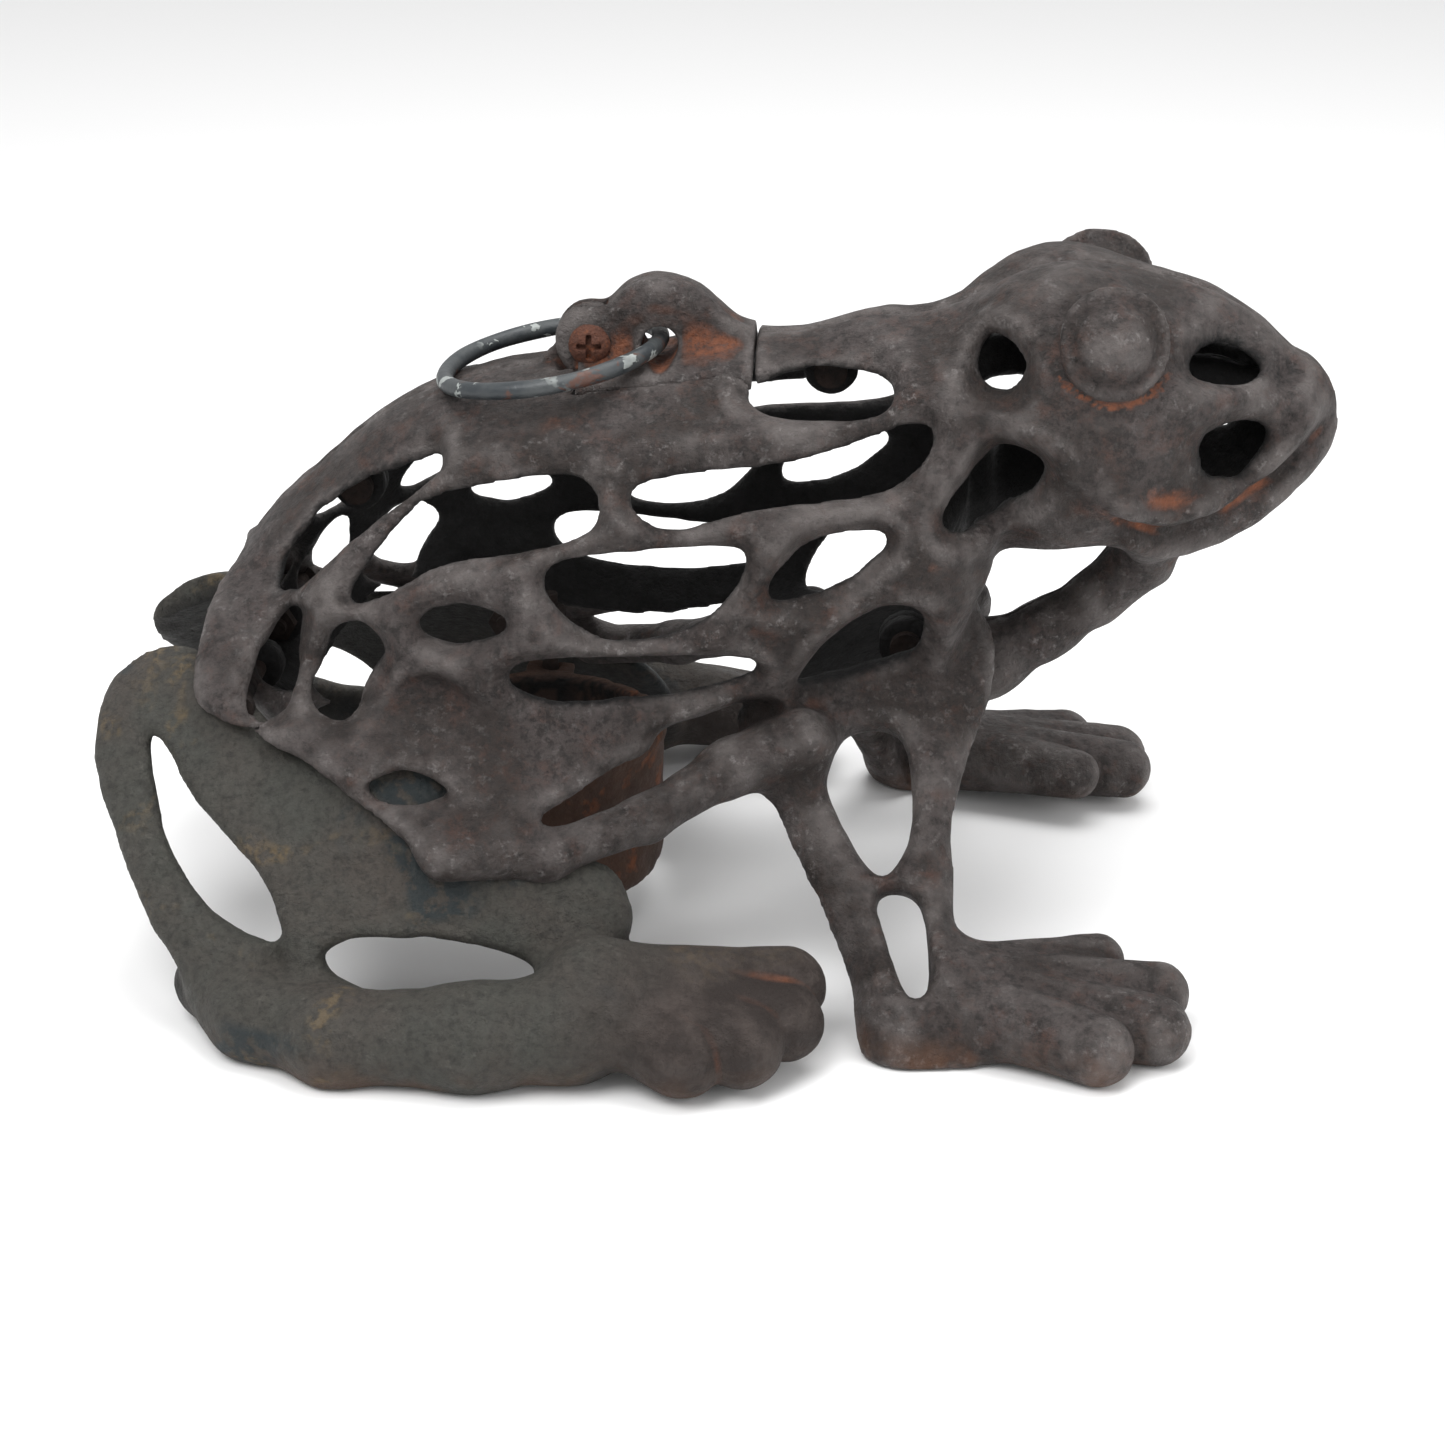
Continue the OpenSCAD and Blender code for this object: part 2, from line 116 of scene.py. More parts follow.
# Raised lines (+) and hollows (-) of the head in the side view: height, reach and points.
# They are the two lips, the mouth, three ridges of the cheek, and two hollows of the muzzle.
HEAD_LINES = [
    (2.4, 2.2, [(90, 116), (102, 112), (120, 118), (138, 132)]),
    (2.4, 2.2, [(93, 105), (103, 101), (122, 108), (141, 124)]),
    (-2.4, 1.5, [(90, 111), (102, 106), (121, 113), (140, 128)]),
    (2.2, 4.5, [(70, 131), (80, 124), (92, 116)]),
    (2.2, 4.5, [(103, 137), (118, 135), (132, 133)]),
    (2.2, 4.5, [(53, 133), (62, 132), (76, 128)]),
    (-3.2, 5.2, [(105, 147), (116, 147), (127, 141)]),
    (-2.6, 5.4, [(109, 120), (109, 133), (125, 131), (120, 121)])]

# Where orange rust has come through: x, y, z and reach; and the thin arc of it under the eye
RUST_SPOTS = [(89, -33, 115, 7), (98, -31, 114, 7), (108, -30, 112, 6), (50, -38, 103, 5),
              (122, -22, 141, 5), (-36, -30, 128, 8), (6, -26, 124, 9), (84, 0, 162, 8)]
RUST_ARC_OUT, RUST_ARC_REACH, RUST_ARC_DROP = 2.6, 1.4, 7.0

# How widely the parts of a casing half run together
NECK_BLEND, BROW_BLEND, THROAT_BLEND, WALL_BLEND, WINDOW_BLEND = 8, 12, 6, 2.5, 5
SKIRT_BLEND, STRIP_BLEND, LEG_BLEND, STRUT_BLEND, WEB_BLEND = 4, 5, 8, 5, 3
EYE_BLEND, BOSS_BLEND, NOSE_BLEND = 1.2, 2, 4
SKIRT_OUT, SKIRT_HALF_T = 2.2, 3.2
# Where the painted shade inside a wall starts, as a share of the wall, how soon it is full, and
# how high the ground's rust is
CASING_INSIDE_SHADE, HAUNCH_INSIDE_SHADE, HATCH_INSIDE_SHADE = (0.45, 2.0), (0.6, 3.0), (0.6, 2.0)
GROUND_Z, SOLE_Z, FAR_AWAY = 14.0, 0.3, 90.0

# ---------------------------------------------------------------- front legs, mm
LEG_LEAN, LEG_FOOT_Y, LEG_THICK = math.radians(41), -80.0, 10.0
LEG_HOLE_REACH = 22.0
LEG = [(3, 80), (16, 52), (33, 14), (39, -8), (62, -8), (57, 26), (56, 58), (65, 92), (56, 108),
       (6, 108)]
LEG_HOLES = [[(26, 62), (31, 76), (43, 74), (45, 52), (38, 42)],
             [(38, 35), (47, 36), (50, 17), (45, 13)]]
FRONT_ANKLE, FRONT_INSTEP, FRONT_HEEL = (48, -70, 12, 10), (44, -63, 24, 6), (44, -78, 8, 8)
FRONT_TOES = [(87, -88, 7.5, 8), (100, -78, 7.5, 8), (101, -64, 9.5, 7.5), (88, -54, 12, 6.5)]

# ---------------------------------------------------------------- haunches, mm
HIP, HIP_R, HAUNCH_THICK = (-72, 74, -60), 177.0, 7.0
HAUNCH_SPACE = ((-146, -112, -2), (32, -24, 82))
HAUNCH_FAR_Y, HAUNCH_BACK_X = -108.8, -142.7
HAUNCH = [(-112, 71), (-127, 75), (-141, 67), (-145, 54), (-133, 32), (-118, 14),
          (-98, 3), (-30, 2),
          (-13, 18), (-22, 38), (-48, 42), (-57, 56), (-55, 73), (-66, 67), (-82, 61),
          (-98, 63)]
HAUNCH_WINDOWS = [[(-128, 57), (-115, 46), (-101, 36), (-95, 25), (-107, 27), (-121, 38)],
                  [(-84, 21), (-74, 26), (-50, 24), (-38, 18), (-50, 12), (-70, 13)]]
KNEE_CREASE = [(-96, 20), (-84, 5), (-62, 2), (-38, 8), (-14, 24)]
REAR_SOLE = [(-112, -68, 9, 9), (-100, -84, 9, 9), (-80, -94, 9, 10), (-50, -96, 11, 11),
             (-28, -92, 13, 12)]
REAR_ANKLE = (-24, -87, 18, 11)
REAR_TOES = [(-4, -100, 10, 9.5), (9, -96, 11, 9.5), (18, -87, 12, 9), (18, -76, 15, 9)]

# ---------------------------------------------------------------- hatch, ring and cup, mm
HINGE = (-30.0, 142.0)
HATCH_X, HATCH_HALF_W, HATCH_GAP = (-33.0, 8.0), 18.0, 0.4
HATCH_OPENING_LOW, HATCH_TOP, HATCH_EDGE_ROUND = 95, 134, 1.2
LUG_HALF_W, LUG_R, KNUCKLE_R, TONGUE_HALF_W = 6.0, 15.0, 8.5, 2.0
LUG_RIDGE = [(-27, 130), (-22, 152), (-8, 154), (2, 148), (9, 142), (8, 132)]
TONGUE_ROOT = [(-39, 0, 128, 5), (-37, 0, 135, 5)]
KNUCKLE_GAP, EAR_GAP, TONGUE_GAP, TURN_GAP = 1, 0.45, 0.15, 0.3
LUG_RUST, LUG_RUST_Z = 0.95, 136
RING_HOLE_AT, RING_HOLE_R = (-14.0, 142.0), 4.2
RING_R, WIRE_R, RING_TILT = 25.6, 2.1, math.radians(10.2)
SCREW_R, SCREW_HEAD_R, SCREW_DOME_R, SCREW_DOME_SINK, SCREW_TAIL = 2.5, 5.0, 6.2, 3.2, 5.9
CROSS_HALF_W, CROSS_HALF_L, CROSS_DEEP, CROSS_SLOPE = 0.6, 2.7, 1.5, 0.25
CUP_X, CUP_R, CUP_IN_R, CUP_LOW, CUP_RIM = -45.0, 31.0, 28.0, 6.0, 47.0
CUP_ROUND, CUP_FLOOR, CUP_BEAD_R, CUP_BEAD_DROP = 9, 3, 1.8, 2.2
CUP_EAR_HALF_W, CUP_EAR_Y, CUP_EAR_HALF_T, CUP_EAR_DROP = 6, 39.8, 1.3, 1.6
CUP_SCREW_Y, CUP_HOLE_R, CUP_SKIN = 36, 2.1, 0.4

# Screws, as x and z in the side view; a haunch screw also has the y its nut bears on
CASING_SCREWS = [(-85, 106.5), (25, 136.4), (43.5, 69)]
HAUNCH_SCREWS = [(-108, 66, -12.5), (-56, 59, -36)]
TAB_R, TAB_T, TAB_OVER, PAD_R, PAD_T = 6.3, 3.9, 1, 5.9, 6.0
CUP_BOSS_LOW, CUP_BOSS_HIGH, CUP_BOSS_HALF_W, CUP_BOSS_HALF_T = 47.0, 59.0, 6, 4


# ---------------------------------------------------------------- distance fields
class Space:
    """A block of sample points, mm."""

    def __init__(self, low, high, step):
        self.low, self.step = low, step
        axes = [np.arange(a, b + step, step, dtype=np.float32) for a, b in zip(low, high)]
        self.x = axes[0][:, None, None]
        self.y = axes[1][None, :, None]
        self.z = axes[2][None, None, :]
        self.p = (self.x, self.y, self.z)
        self.shape = tuple(len(a) for a in axes)

    def full(self, values):
        return np.broadcast_to(values, self.shape)


def smooth_min(a, b, k):
    h = np.maximum(k - np.abs(a - b), 0) / k
    return np.minimum(a, b) - h * h * (k * 0.25)


def smooth_max(a, b, k):
    return -smooth_min(-a, -b, k)


def rod(p, a, b):
    """A rod with round ends between two points given as (x, y, z, radius)."""
    ba = np.subtract(b[:3], a[:3]).astype(np.float32)
    d = [p[k] - np.float32(a[k]) for k in range(3)]
    along = np.clip((d[0] * ba[0] + d[1] * ba[1] + d[2] * ba[2]) / (ba @ ba), 0, 1)
    away = sum((d[k] - along * ba[k]) ** 2 for k in range(3))
    return np.sqrt(away) - (a[3] + (b[3] - a[3]) * along)


def chain(p, points, k=4.0):
    """Rods from point to point, blended."""
    out = rod(p, points[0], points[1])
    for a, b in zip(points[1:], points[2:]):
        out = smooth_min(out, rod(p, a, b), k)
    return out


def egg(p, at, radii):
    q = [(p[k] - at[k]) / radii[k] for k in range(3)]
    r = np.sqrt(q[0] ** 2 + q[1] ** 2 + q[2] ** 2)
    slope = np.sqrt(sum((q[k] / radii[k]) ** 2 for k in range(3))) + 1e-6
    return r * (r - 1) / slope


def true_distance(f, step):
    """Scales a field so that its slope is about one."""
    g = np.gradient(f, step)
    return f / np.maximum(np.sqrt(g[0] ** 2 + g[1] ** 2 + g[2] ** 2), 0.25)


def curve(points, closed, steps=6):
    """A smooth curve through the points."""
    p = np.array(points, float)
    n = len(p)
    out = []
    for i in range(n if closed else n - 1):
        at = [(i + k) % n if closed else min(max(i + k, 0), n - 1) for k in (-1, 0, 1, 2)]
        a, b, c, d = p[at]
        for t in np.arange(steps) / steps:
            out.append(0.5 * (2 * b + (c - a) * t + (2 * a - 5 * b + 4 * c - d) * t ** 2
                              + (3 * b - a - 3 * c + d) * t ** 3))
    return np.array(out if closed else out + [p[-1]])


def line_distance(u, v, points, closed):
    """Distance to a smooth line in a plane, negative inside if it is closed."""
    line = curve(points, closed)
    ends = np.roll(line, -1, axis=0) if closed else line[1:]
    best = np.full(u.shape, 1e9)
    inside = np.zeros(u.shape, bool)
    for a, b in zip(line, ends):
        e = b - a
        t = np.clip(((u - a[0]) * e[0] + (v - a[1]) * e[1]) / (e @ e + 1e-9), 0, 1)
        best = np.minimum(best, (u - a[0] - e[0] * t) ** 2 + (v - a[1] - e[1] * t) ** 2)
        if closed and a[1] != b[1]:
            inside ^= ((a[1] > v) != (b[1] > v)) & (u < e[0] * (v - a[1]) / e[1] + a[0])
    return np.where(inside, -1, 1) * np.sqrt(best)


class PlaneMap:
    """The distance to the nearest of some lines in a plane, kept on a fine grid."""

    def __init__(self, lines, closed=True, low=(-150, -30), high=(150, 185), step=0.8):
        self.low, self.step = low, step
        u = np.arange(low[0], high[0], step)
        v = np.arange(low[1], high[1], step)
        grid = np.meshgrid(u, v, indexing="ij")
        self.field = np.minimum.reduce([line_distance(*grid, line, closed) for line in lines])
        self.field = self.field.astype(np.float32)

    def __call__(self, u, v):
        f = self.field
        i = np.clip((u - self.low[0]) / self.step, 0, f.shape[0] - 1.001)
        j = np.clip((v - self.low[1]) / self.step, 0, f.shape[1] - 1.001)
        i0, j0 = i.astype(np.int32), j.astype(np.int32)
        fi, fj = i - i0, j - j0
        near = f[i0, j0] * (1 - fi) + f[i0 + 1, j0] * fi
        return near * (1 - fj) + (f[i0, j0 + 1] * (1 - fi) + f[i0 + 1, j0 + 1] * fi) * fj


def lumps(p, size, seed):
    """Slow uneven swelling, as on a casting from a hand-cut pattern."""
    rng = np.random.default_rng(seed)
    out = np.float32(0)
    for _ in range(6):
        k = rng.normal(size=3)
        k *= 2 * math.pi / (size * rng.uniform(0.7, 1.4) * np.linalg.norm(k))
        k = k.astype(np.float32)
        phase = np.float32(rng.uniform(0, 2 * math.pi))
        out = out + np.sin(p[0] * k[0] + p[1] * k[1] + p[2] * k[2] + phase)
    return out / 6


# ---------------------------------------------------------------- surface nets
CORNERS = [(i, j, k) for i in (0, 1) for j in (0, 1) for k in (0, 1)]
EDGES = [(a, b) for a in range(8) for b in range(a + 1, 8)
         if sum(abs(CORNERS[a][k] - CORNERS[b][k]) for k in range(3)) == 1]


def net_points(f, solid):
    """One point in each cell that the surface crosses, and the number of each such cell."""
    cells = tuple(n - 1 for n in f.shape)
    corner = [solid[c[0]:c[0] + cells[0], c[1]:c[1] + cells[1], c[2]:c[2] + cells[2]]
              for c in CORNERS]
    some = np.logical_or.reduce(corner)
    every = np.logical_and.reduce(corner)
    at = np.argwhere(some & ~every)
    value = [f[at[:, 0] + c[0], at[:, 1] + c[1], at[:, 2] + c[2]] for c in CORNERS]
    total, count = np.zeros((len(at), 3)), np.zeros(len(at))
    for a, b in EDGES:
        cut = (value[a] < 0) != (value[b] < 0)
        t = np.where(cut, value[a] / np.where(cut, value[a] - value[b], 1), 0)[:, None]
        point = np.array(CORNERS[a]) * (1 - t) + np.array(CORNERS[b]) * t
        total += np.where(cut[:, None], point, 0)
        count += cut
    number = np.full(cells, -1)
    number[tuple(at.T)] = np.arange(len(at))
    return at + total / count[:, None], number


def net_quads(solid, number):
    """A quad round each grid edge that the surface crosses, facing outwards."""
    quads = []
    for axis in range(3):
        here = [slice(1, -1)] * 3
        here[axis] = slice(0, -1)
        ahead = list(here)
        ahead[axis] = slice(1, None)
        inside = solid[tuple(here)]
        crossed = inside != solid[tuple(ahead)]
        edge = np.argwhere(crossed)
        u, w = [k for k in range(3) if k != axis]
        edge[:, [u, w]] += 1
        ring = []
        for du, dw in ((-1, -1), (0, -1), (0, 0), (-1, 0)):
            cell = edge.copy()
            cell[:, u] += du
            cell[:, w] += dw
            ring.append(number[tuple(cell.T)])
        ring = np.stack(ring, 1)
        turned = inside[crossed] == (axis == 1)
        ring[turned] = ring[turned][:, ::-1]
        quads.append(ring)
    return np.concatenate(quads)


def keep_largest(quads, count):
    """Drops loose crumbs, so that a casting is one connected piece."""
    label = np.arange(count)
    while True:
        low = label[quads].min(axis=1)
        new = label.copy()
        for k in range(4):
            np.minimum.at(new, quads[:, k], low)
        new = new[new]
        if (new == label).all():
            break
        label = new
    names, sizes = np.unique(label[quads[:, 0]], return_counts=True)
    return quads[label[quads[:, 0]] == names[sizes.argmax()]]


def edges_of(quads):
    e = np.concatenate([quads[:, [k, (k + 1) % 4]] for k in range(4)])
    e.sort(axis=1)
    return np.unique(e, axis=0)


def neighbour_mean(verts, edges):
    n = len(verts)
    count = np.maximum(np.bincount(edges.ravel(), minlength=n), 1)
    out = [np.bincount(edges[:, 0], verts[edges[:, 1], k], n)
           + np.bincount(edges[:, 1], verts[edges[:, 0], k], n) for k in range(3)]
    return np.stack(out, 1) / count[:, None]


def relax(verts, edges, turns=3):
    """Smooths without shrinking."""
    for _ in range(turns):
        for pull in (0.5, -0.52):
            verts = verts + pull * (neighbour_mean(verts, edges) - verts)
    return verts


def vertex_normals(verts, quads):
    a, b, c, d = (verts[quads[:, k]] for k in range(4))
    face = np.cross(c - a, d - b)
    out = np.zeros_like(verts)
    for k in range(3):
        for q in range(4):
            out[:, k] += np.bincount(quads[:, q], face[:, k], len(verts))
    return out / (np.linalg.norm(out, axis=1, keepdims=True) + 1e-9)


def crest_of(verts, quads, edges, reach, step):
    """How far each point stands above (+) or below (-) what is round it, from -1 to 1."""
    slow = verts
    for _ in range(int((reach / step) ** 2)):
        slow = neighbour_mean(slow, edges)
    high = ((verts - slow) * vertex_normals(verts, quads)).sum(axis=1)
    return np.clip(high / (0.3 * reach), -1, 1)


def sampled(space, field, verts):
    at = [np.clip(np.rint((verts[:, k] - space.low[k]) / space.step), 0, space.shape[k] - 1)
          for k in range(3)]
    return space.full(field)[tuple(a.astype(int) for a in at)]


def link(name, mesh):
    piece = bpy.data.objects.new(name, mesh)
    bpy.context.scene.collection.objects.link(piece)
    return piece


def casting(name, space, field, marks=None, turns=3):
    """Meshes a field into one smooth, closed piece with its crests and marks as attributes."""
    f = np.pad(space.full(field), 1, constant_values=5.0)
    solid = f < 0
    points, number = net_points(f, solid)
    quads = keep_largest(net_quads(solid, number), len(points))
    used, quads = np.unique(quads, return_inverse=True)
    quads = quads.reshape(-1, 4)
    verts = np.array(space.low) - space.step + points[used] * space.step
    edges = edges_of(quads)
    verts = relax(verts, edges, turns)
    mesh = bpy.data.meshes.new(name)
    mesh.from_pydata((verts * MM).tolist(), [], quads.tolist())
    mesh.polygons.foreach_set("use_smooth", [True] * len(quads))
    values = {"crest": crest_of(verts, quads, edges, 4.0, space.step)}
    for mark, mark_field in (marks or {}).items():
        values[mark] = np.clip(sampled(space, mark_field, verts), 0, 1)
    for mark, value in values.items():
        layer = mesh.attributes.new(mark, "FLOAT", "POINT")
        layer.data.foreach_set("value", value.astype(np.float32))
    return link(name, mesh)


def left_copy(piece, name):
    """The mirror copy of a right-hand casting."""
    mesh = piece.data.copy()
    mesh.transform(Matrix.Scale(-1, 4, Vector((0, 1, 0))))
    mesh.flip_normals()
    mesh.name = name
    return link(name, mesh)


# ---------------------------------------------------------------- casing halves
def body_parts(s):
    """Distance to the body, and where each point falls on its skin in the side view."""
    c, d = math.cos(BODY_PITCH), math.sin(BODY_PITCH)
    dx, dz = s.x - BODY_AT[0], s.z - BODY_AT[1]
    along = dx * c + dz * d
    across = dz * c - dx * d
    rump = 1 - np.clip((DEEP_AT - along) / RUMP_L, 0, 1) ** 2
    neck = np.maximum(along - DEEP_AT, 0) / NECK_L
    tall = np.maximum(BODY_TALL * rump ** RUMP_TALL_POWER - NECK_DROP * neck, LEAST_R)
    wide = np.maximum(BODY_WIDE * rump ** RUMP_WIDE_POWER - NECK_NARROWING * neck, LEAST_R)
    out = np.sqrt((across / tall) ** 2 + (s.y / wide) ** 2)
    skin_across = across / np.maximum(out, 0.05)
    u = BODY_AT[0] + along * c - skin_across * d
    v = BODY_AT[1] + along * d + skin_across * c
    ends = np.maximum(DEEP_AT - RUMP_L - along, -40)
    solid = smooth_max((out - 1) * np.minimum(tall, wide), s.x - CHEST_X, CHEST_ROUND)
    return np.maximum(solid, ends), u, v


def head_parts(s):
    """The same for the head."""
    reach = np.where(s.x > HEAD_AT[0], NOSE_L, CROWN_L)
    core = np.clip(1 - ((s.x - HEAD_AT[0]) / reach) ** 2, 0, 1)
    tall = np.maximum(HEAD_TALL * core ** HEAD_TALL_POWER, HEAD_LEAST_R)
    wide = np.maximum(HEAD_WIDE * core ** HEAD_WIDE_POWER, HEAD_LEAST_R)
    rise = s.z - HEAD_AT[1]
    out = np.sqrt((rise / tall) ** 2 + (s.y / wide) ** 2)
    v = HEAD_AT[1] + rise / np.maximum(out, 0.05)
    ends = np.maximum(np.abs(s.x - HEAD_AT[0]) - reach, -40)
    return np.maximum((out - 1) * np.minimum(tall, wide), ends), s.full(s.x), v


def bank(distance, height, reach):
    """A soft ridge (or with a negative height a hollow) along a line."""
    return height * np.exp(-(distance / reach) ** 2)


def head_relief(s, u, v):
    """Lips, mouth line, cheek ridges and the two hollows, fading out at the nose."""
    relief = 0
    for height, reach, line in HEAD_LINES:
        relief = relief + bank(PlaneMap([line], closed=False)(u, v), height, reach)
    return relief * (s.x > HEAD_FROM_X) * np.clip((NOSE_END - s.x) / NOSE_FADE, 0, 1)


def eye_place(s):
    """How far out each point is from the eye's face, and how far from its axis."""
    facing = np.array(EYE_FACING) / np.linalg.norm(EYE_FACING)
    q = [s.p[k] - EYE_AT[k] for k in range(3)]
    out = sum(q[k] * facing[k] for k in range(3)).astype(np.float32)
    return out, np.sqrt(np.maximum(sum(q[k] ** 2 for k in range(3)) - out ** 2, 0))


# Painted shade: a wall turns near-black on its inner side, from a share of its thickness inwards.
def painted_inside_shade(skin, wall, inside_shade):
    start, reach = inside_shade
    return np.clip((-skin - start * wall) / reach, 0, 1)


def rust_spots(s):
    side = eye_place(s)[1]
    spots = bank(side - EYE_RIM_R - RUST_ARC_OUT, 1.0, RUST_ARC_REACH)
    spots = spots * (s.z < EYE_AT[2] - RUST_ARC_DROP) * (s.y < BROW_AT[1])
    for x, y, z, reach in RUST_SPOTS:
        away = (s.x - x) ** 2 + (s.y - y) ** 2 + (s.z - z) ** 2
        spots = spots + np.exp(-away / reach ** 2)
    return np.clip(spots, 0, 1)


def eye(s):
    """A globe seated in a ring."""
    out, side = eye_place(s)
    rim = np.sqrt((side - EYE_RIM_R) ** 2 + (out - EYE_RIM_OUT) ** 2) - EYE_RIM_T
    globe = np.sqrt(side ** 2 + (out + EYE_DEPTH) ** 2) - EYE_R
    seat = np.maximum(side - EYE_RIM_R, np.abs(out + EYE_SEAT_HALF) - EYE_SEAT_HALF)
    return smooth_min(np.minimum(globe, seat), rim, EYE_CREASE)


def front_leg(s):
    """A leaning pierced plate on a toed foot."""
    c, d = math.cos(LEG_LEAN), math.sin(LEG_LEAN)
    up = (s.y - LEG_FOOT_Y) * d + s.z * c
    out = s.z * d - (s.y - LEG_FOOT_Y) * c
    across = s.full(s.x)
    plate = smooth_max(np.abs(out) - LEG_THICK / 2, PlaneMap([LEG])(across, up), 10)
    foot = rod(s.p, FRONT_INSTEP, FRONT_ANKLE)
    foot = smooth_min(foot, rod(s.p, FRONT_HEEL, FRONT_ANKLE), 6)
    for toe in FRONT_TOES:
        foot = smooth_min(foot, rod(s.p, FRONT_ANKLE, toe), 1.5)
    holes = smooth_max(PlaneMap(LEG_HOLES)(across, up), np.abs(out) - LEG_HOLE_REACH, 2)
    return smooth_max(smooth_min(plate, foot, 8), -holes, 5)


def hip_distance(s):
    return np.sqrt(sum((s.p[k] - HIP[k]) ** 2 for k in range(3))) - HIP_R


def skirt(s, low_windows):
    """The edge of the casing that lies on the haunch."""
    side = (s.full(s.x), s.full(s.z))
    plate = np.abs(hip_distance(s) - SKIRT_OUT) - SKIRT_HALF_T
    plate = smooth_max(plate, PlaneMap([SKIRT])(*side), 6)
    return smooth_max(plate, -low_windows(*side), 5)


def tongue_and_openings(s, shell):
    """Room for the hatch and its knuckle, and the fixed tongue between the hatch's ears."""
    box = np.maximum(np.abs(s.x - sum(HATCH_X) / 2) - (HATCH_X[1] - HATCH_X[0]) / 2,
                     np.maximum(-HATCH_HALF_W - s.y, HATCH_OPENING_LOW - s.z))
    shell = smooth_max(shell, -box, HATCH_EDGE_ROUND)
    turn = np.sqrt((s.x - HINGE[0]) ** 2 + (s.z - HINGE[1]) ** 2)
    knuckle_room = np.maximum(turn - KNUCKLE_R - KNUCKLE_GAP, -LUG_HALF_W - KNUCKLE_GAP - s.y)
    shell = np.maximum(shell, -knuckle_room)
    tongue = smooth_min(turn - KNUCKLE_R + TURN_GAP + 0 * s.y, rod(s.p, *TONGUE_ROOT), 2)
    swept = np.maximum(np.maximum(HATCH_X[0] - s.x, s.z - HATCH_TOP),
                       KNUCKLE_R - TURN_GAP - turn)
    tongue = np.maximum(np.maximum(tongue, -swept), -s.y - TONGUE_HALF_W + TONGUE_GAP)
    return np.minimum(shell, np.maximum(tongue, SCREW_R + 0.1 - turn))


def cross_bar(s, x, z, y1, y2, r):
    away = np.sqrt((s.x - x) ** 2 + (s.z - z) ** 2) - r
    return smooth_max(s.full(away), s.full(np.maximum(y1 - s.y, s.y - y2)), 1)


def screw_bosses(s, skin):
    """Tabs, pads and the cup's boss inside the casing, trimmed to the middle of its wall."""
    bosses = [cross_bar(s, x, z, -TAB_T, TAB_OVER, TAB_R) for x, z in CASING_SCREWS]
    bosses += [cross_bar(s, x, z, y - PAD_T, y, PAD_R) for x, z, y in HAUNCH_SCREWS]
    cup_boss = np.maximum(CUP_BOSS_LOW - s.z, s.z - CUP_BOSS_HIGH)
    cup_boss = np.maximum(cup_boss, np.abs(s.y + CUP_SCREW_Y) - CUP_BOSS_HALF_T)
    bosses.append(s.full(np.maximum(np.abs(s.x - CUP_X) - CUP_BOSS_HALF_W, cup_boss)))
    solid = bosses[0]
    for boss in bosses[1:]:
        solid = np.minimum(solid, boss)
    return np.maximum(solid, skin + WALL / 2)


def casing_right():
    s = Space(*CASING_SPACE, CASTING_STEP)
    body, body_u, body_v = body_parts(s)
    head, head_u, head_v = head_parts(s)
    brow = smooth_min(head, egg(s.p, BROW_AT, BROW_RADII), BROW_BLEND)
    side = (s.full(s.x), s.full(s.z))
    whole = smooth_min(body, brow, NECK_BLEND)
    whole = smooth_max(whole, -PlaneMap([THROAT])(*side), THROAT_BLEND)
    skin = true_distance(whole, s.step)
    low_windows = PlaneMap(LOW_WINDOWS)
    head_window = np.minimum(
        np.where(s.x < HEAD_WINDOWS_FROM_X, FAR_AWAY, PlaneMap(HEAD_WINDOWS)(head_u, head_v)),
        np.where(s.y > NECK_WINDOWS_Y, FAR_AWAY, PlaneMap(NECK_WINDOWS)(*side)))
    body_window = PlaneMap(BODY_WINDOWS)(body_u, body_v)
    window = np.minimum(head_window, np.where(s.x > BODY_WINDOWS_TO_X, FAR_AWAY, body_window))
    window = np.minimum(window, np.minimum(PlaneMap([BELLY])(*side), low_windows(*side)))
    worn = skin + bank(np.maximum(window, 0), WINDOW_DIP, WINDOW_DIP_REACH)
    worn = worn + bank(np.maximum(head_window, 0), HEAD_DIP, HEAD_DIP_REACH)
    worn = worn - bank(window - BEAD_AT, BEAD_HIGH, BEAD_REACH)
    worn = worn + bank(np.abs(s.y), SEAM_DEEP, SEAM_REACH) - head_relief(s, head_u, head_v)
    hollow = -(skin + WALL)
    shell = smooth_max(worn, hollow, WALL_BLEND)
    shell = smooth_max(shell, -window, WINDOW_BLEND)
    shell = smooth_min(shell, smooth_max(skirt(s, low_windows), hollow, 3), SKIRT_BLEND)
    shell = smooth_min(shell, chain(s.p, BELLY_STRIP), STRIP_BLEND)
    shell = smooth_min(shell, smooth_max(front_leg(s), hollow, 4), LEG_BLEND)
    shell = smooth_min(shell, chain(s.p, CHIN_STRUT), STRUT_BLEND)
    shell = smooth_min(shell, chain(s.p, MUZZLE_WEB), WEB_BLEND)
    shell = smooth_min(shell, eye(s), EYE_BLEND)
    shell = smooth_min(shell, screw_bosses(s, skin), BOSS_BLEND)
    shell = shell + 0.4 * lumps(s.p, 19, 3) + 0.2 * lumps(s.p, 7, 5)
    shell = tongue_and_openings(s, shell)
    shell = np.maximum(np.maximum(shell, s.y - SEAM_CLOSE), SOLE_Z - s.z)
    shell = smooth_max(shell, s.full(s.x) - NOSE_END, NOSE_BLEND)
    # The first mark is painted shade inside the wall; the others are rust at the ground and rust
    # spots.
    marks = {"inside_shade": painted_inside_shade(skin, WALL, CASING_INSIDE_SHADE), "ground": 1 - s.z / GROUND_Z,
             "rusted": rust_spots(s)}
    return casting("casing_right", s, shell, marks)


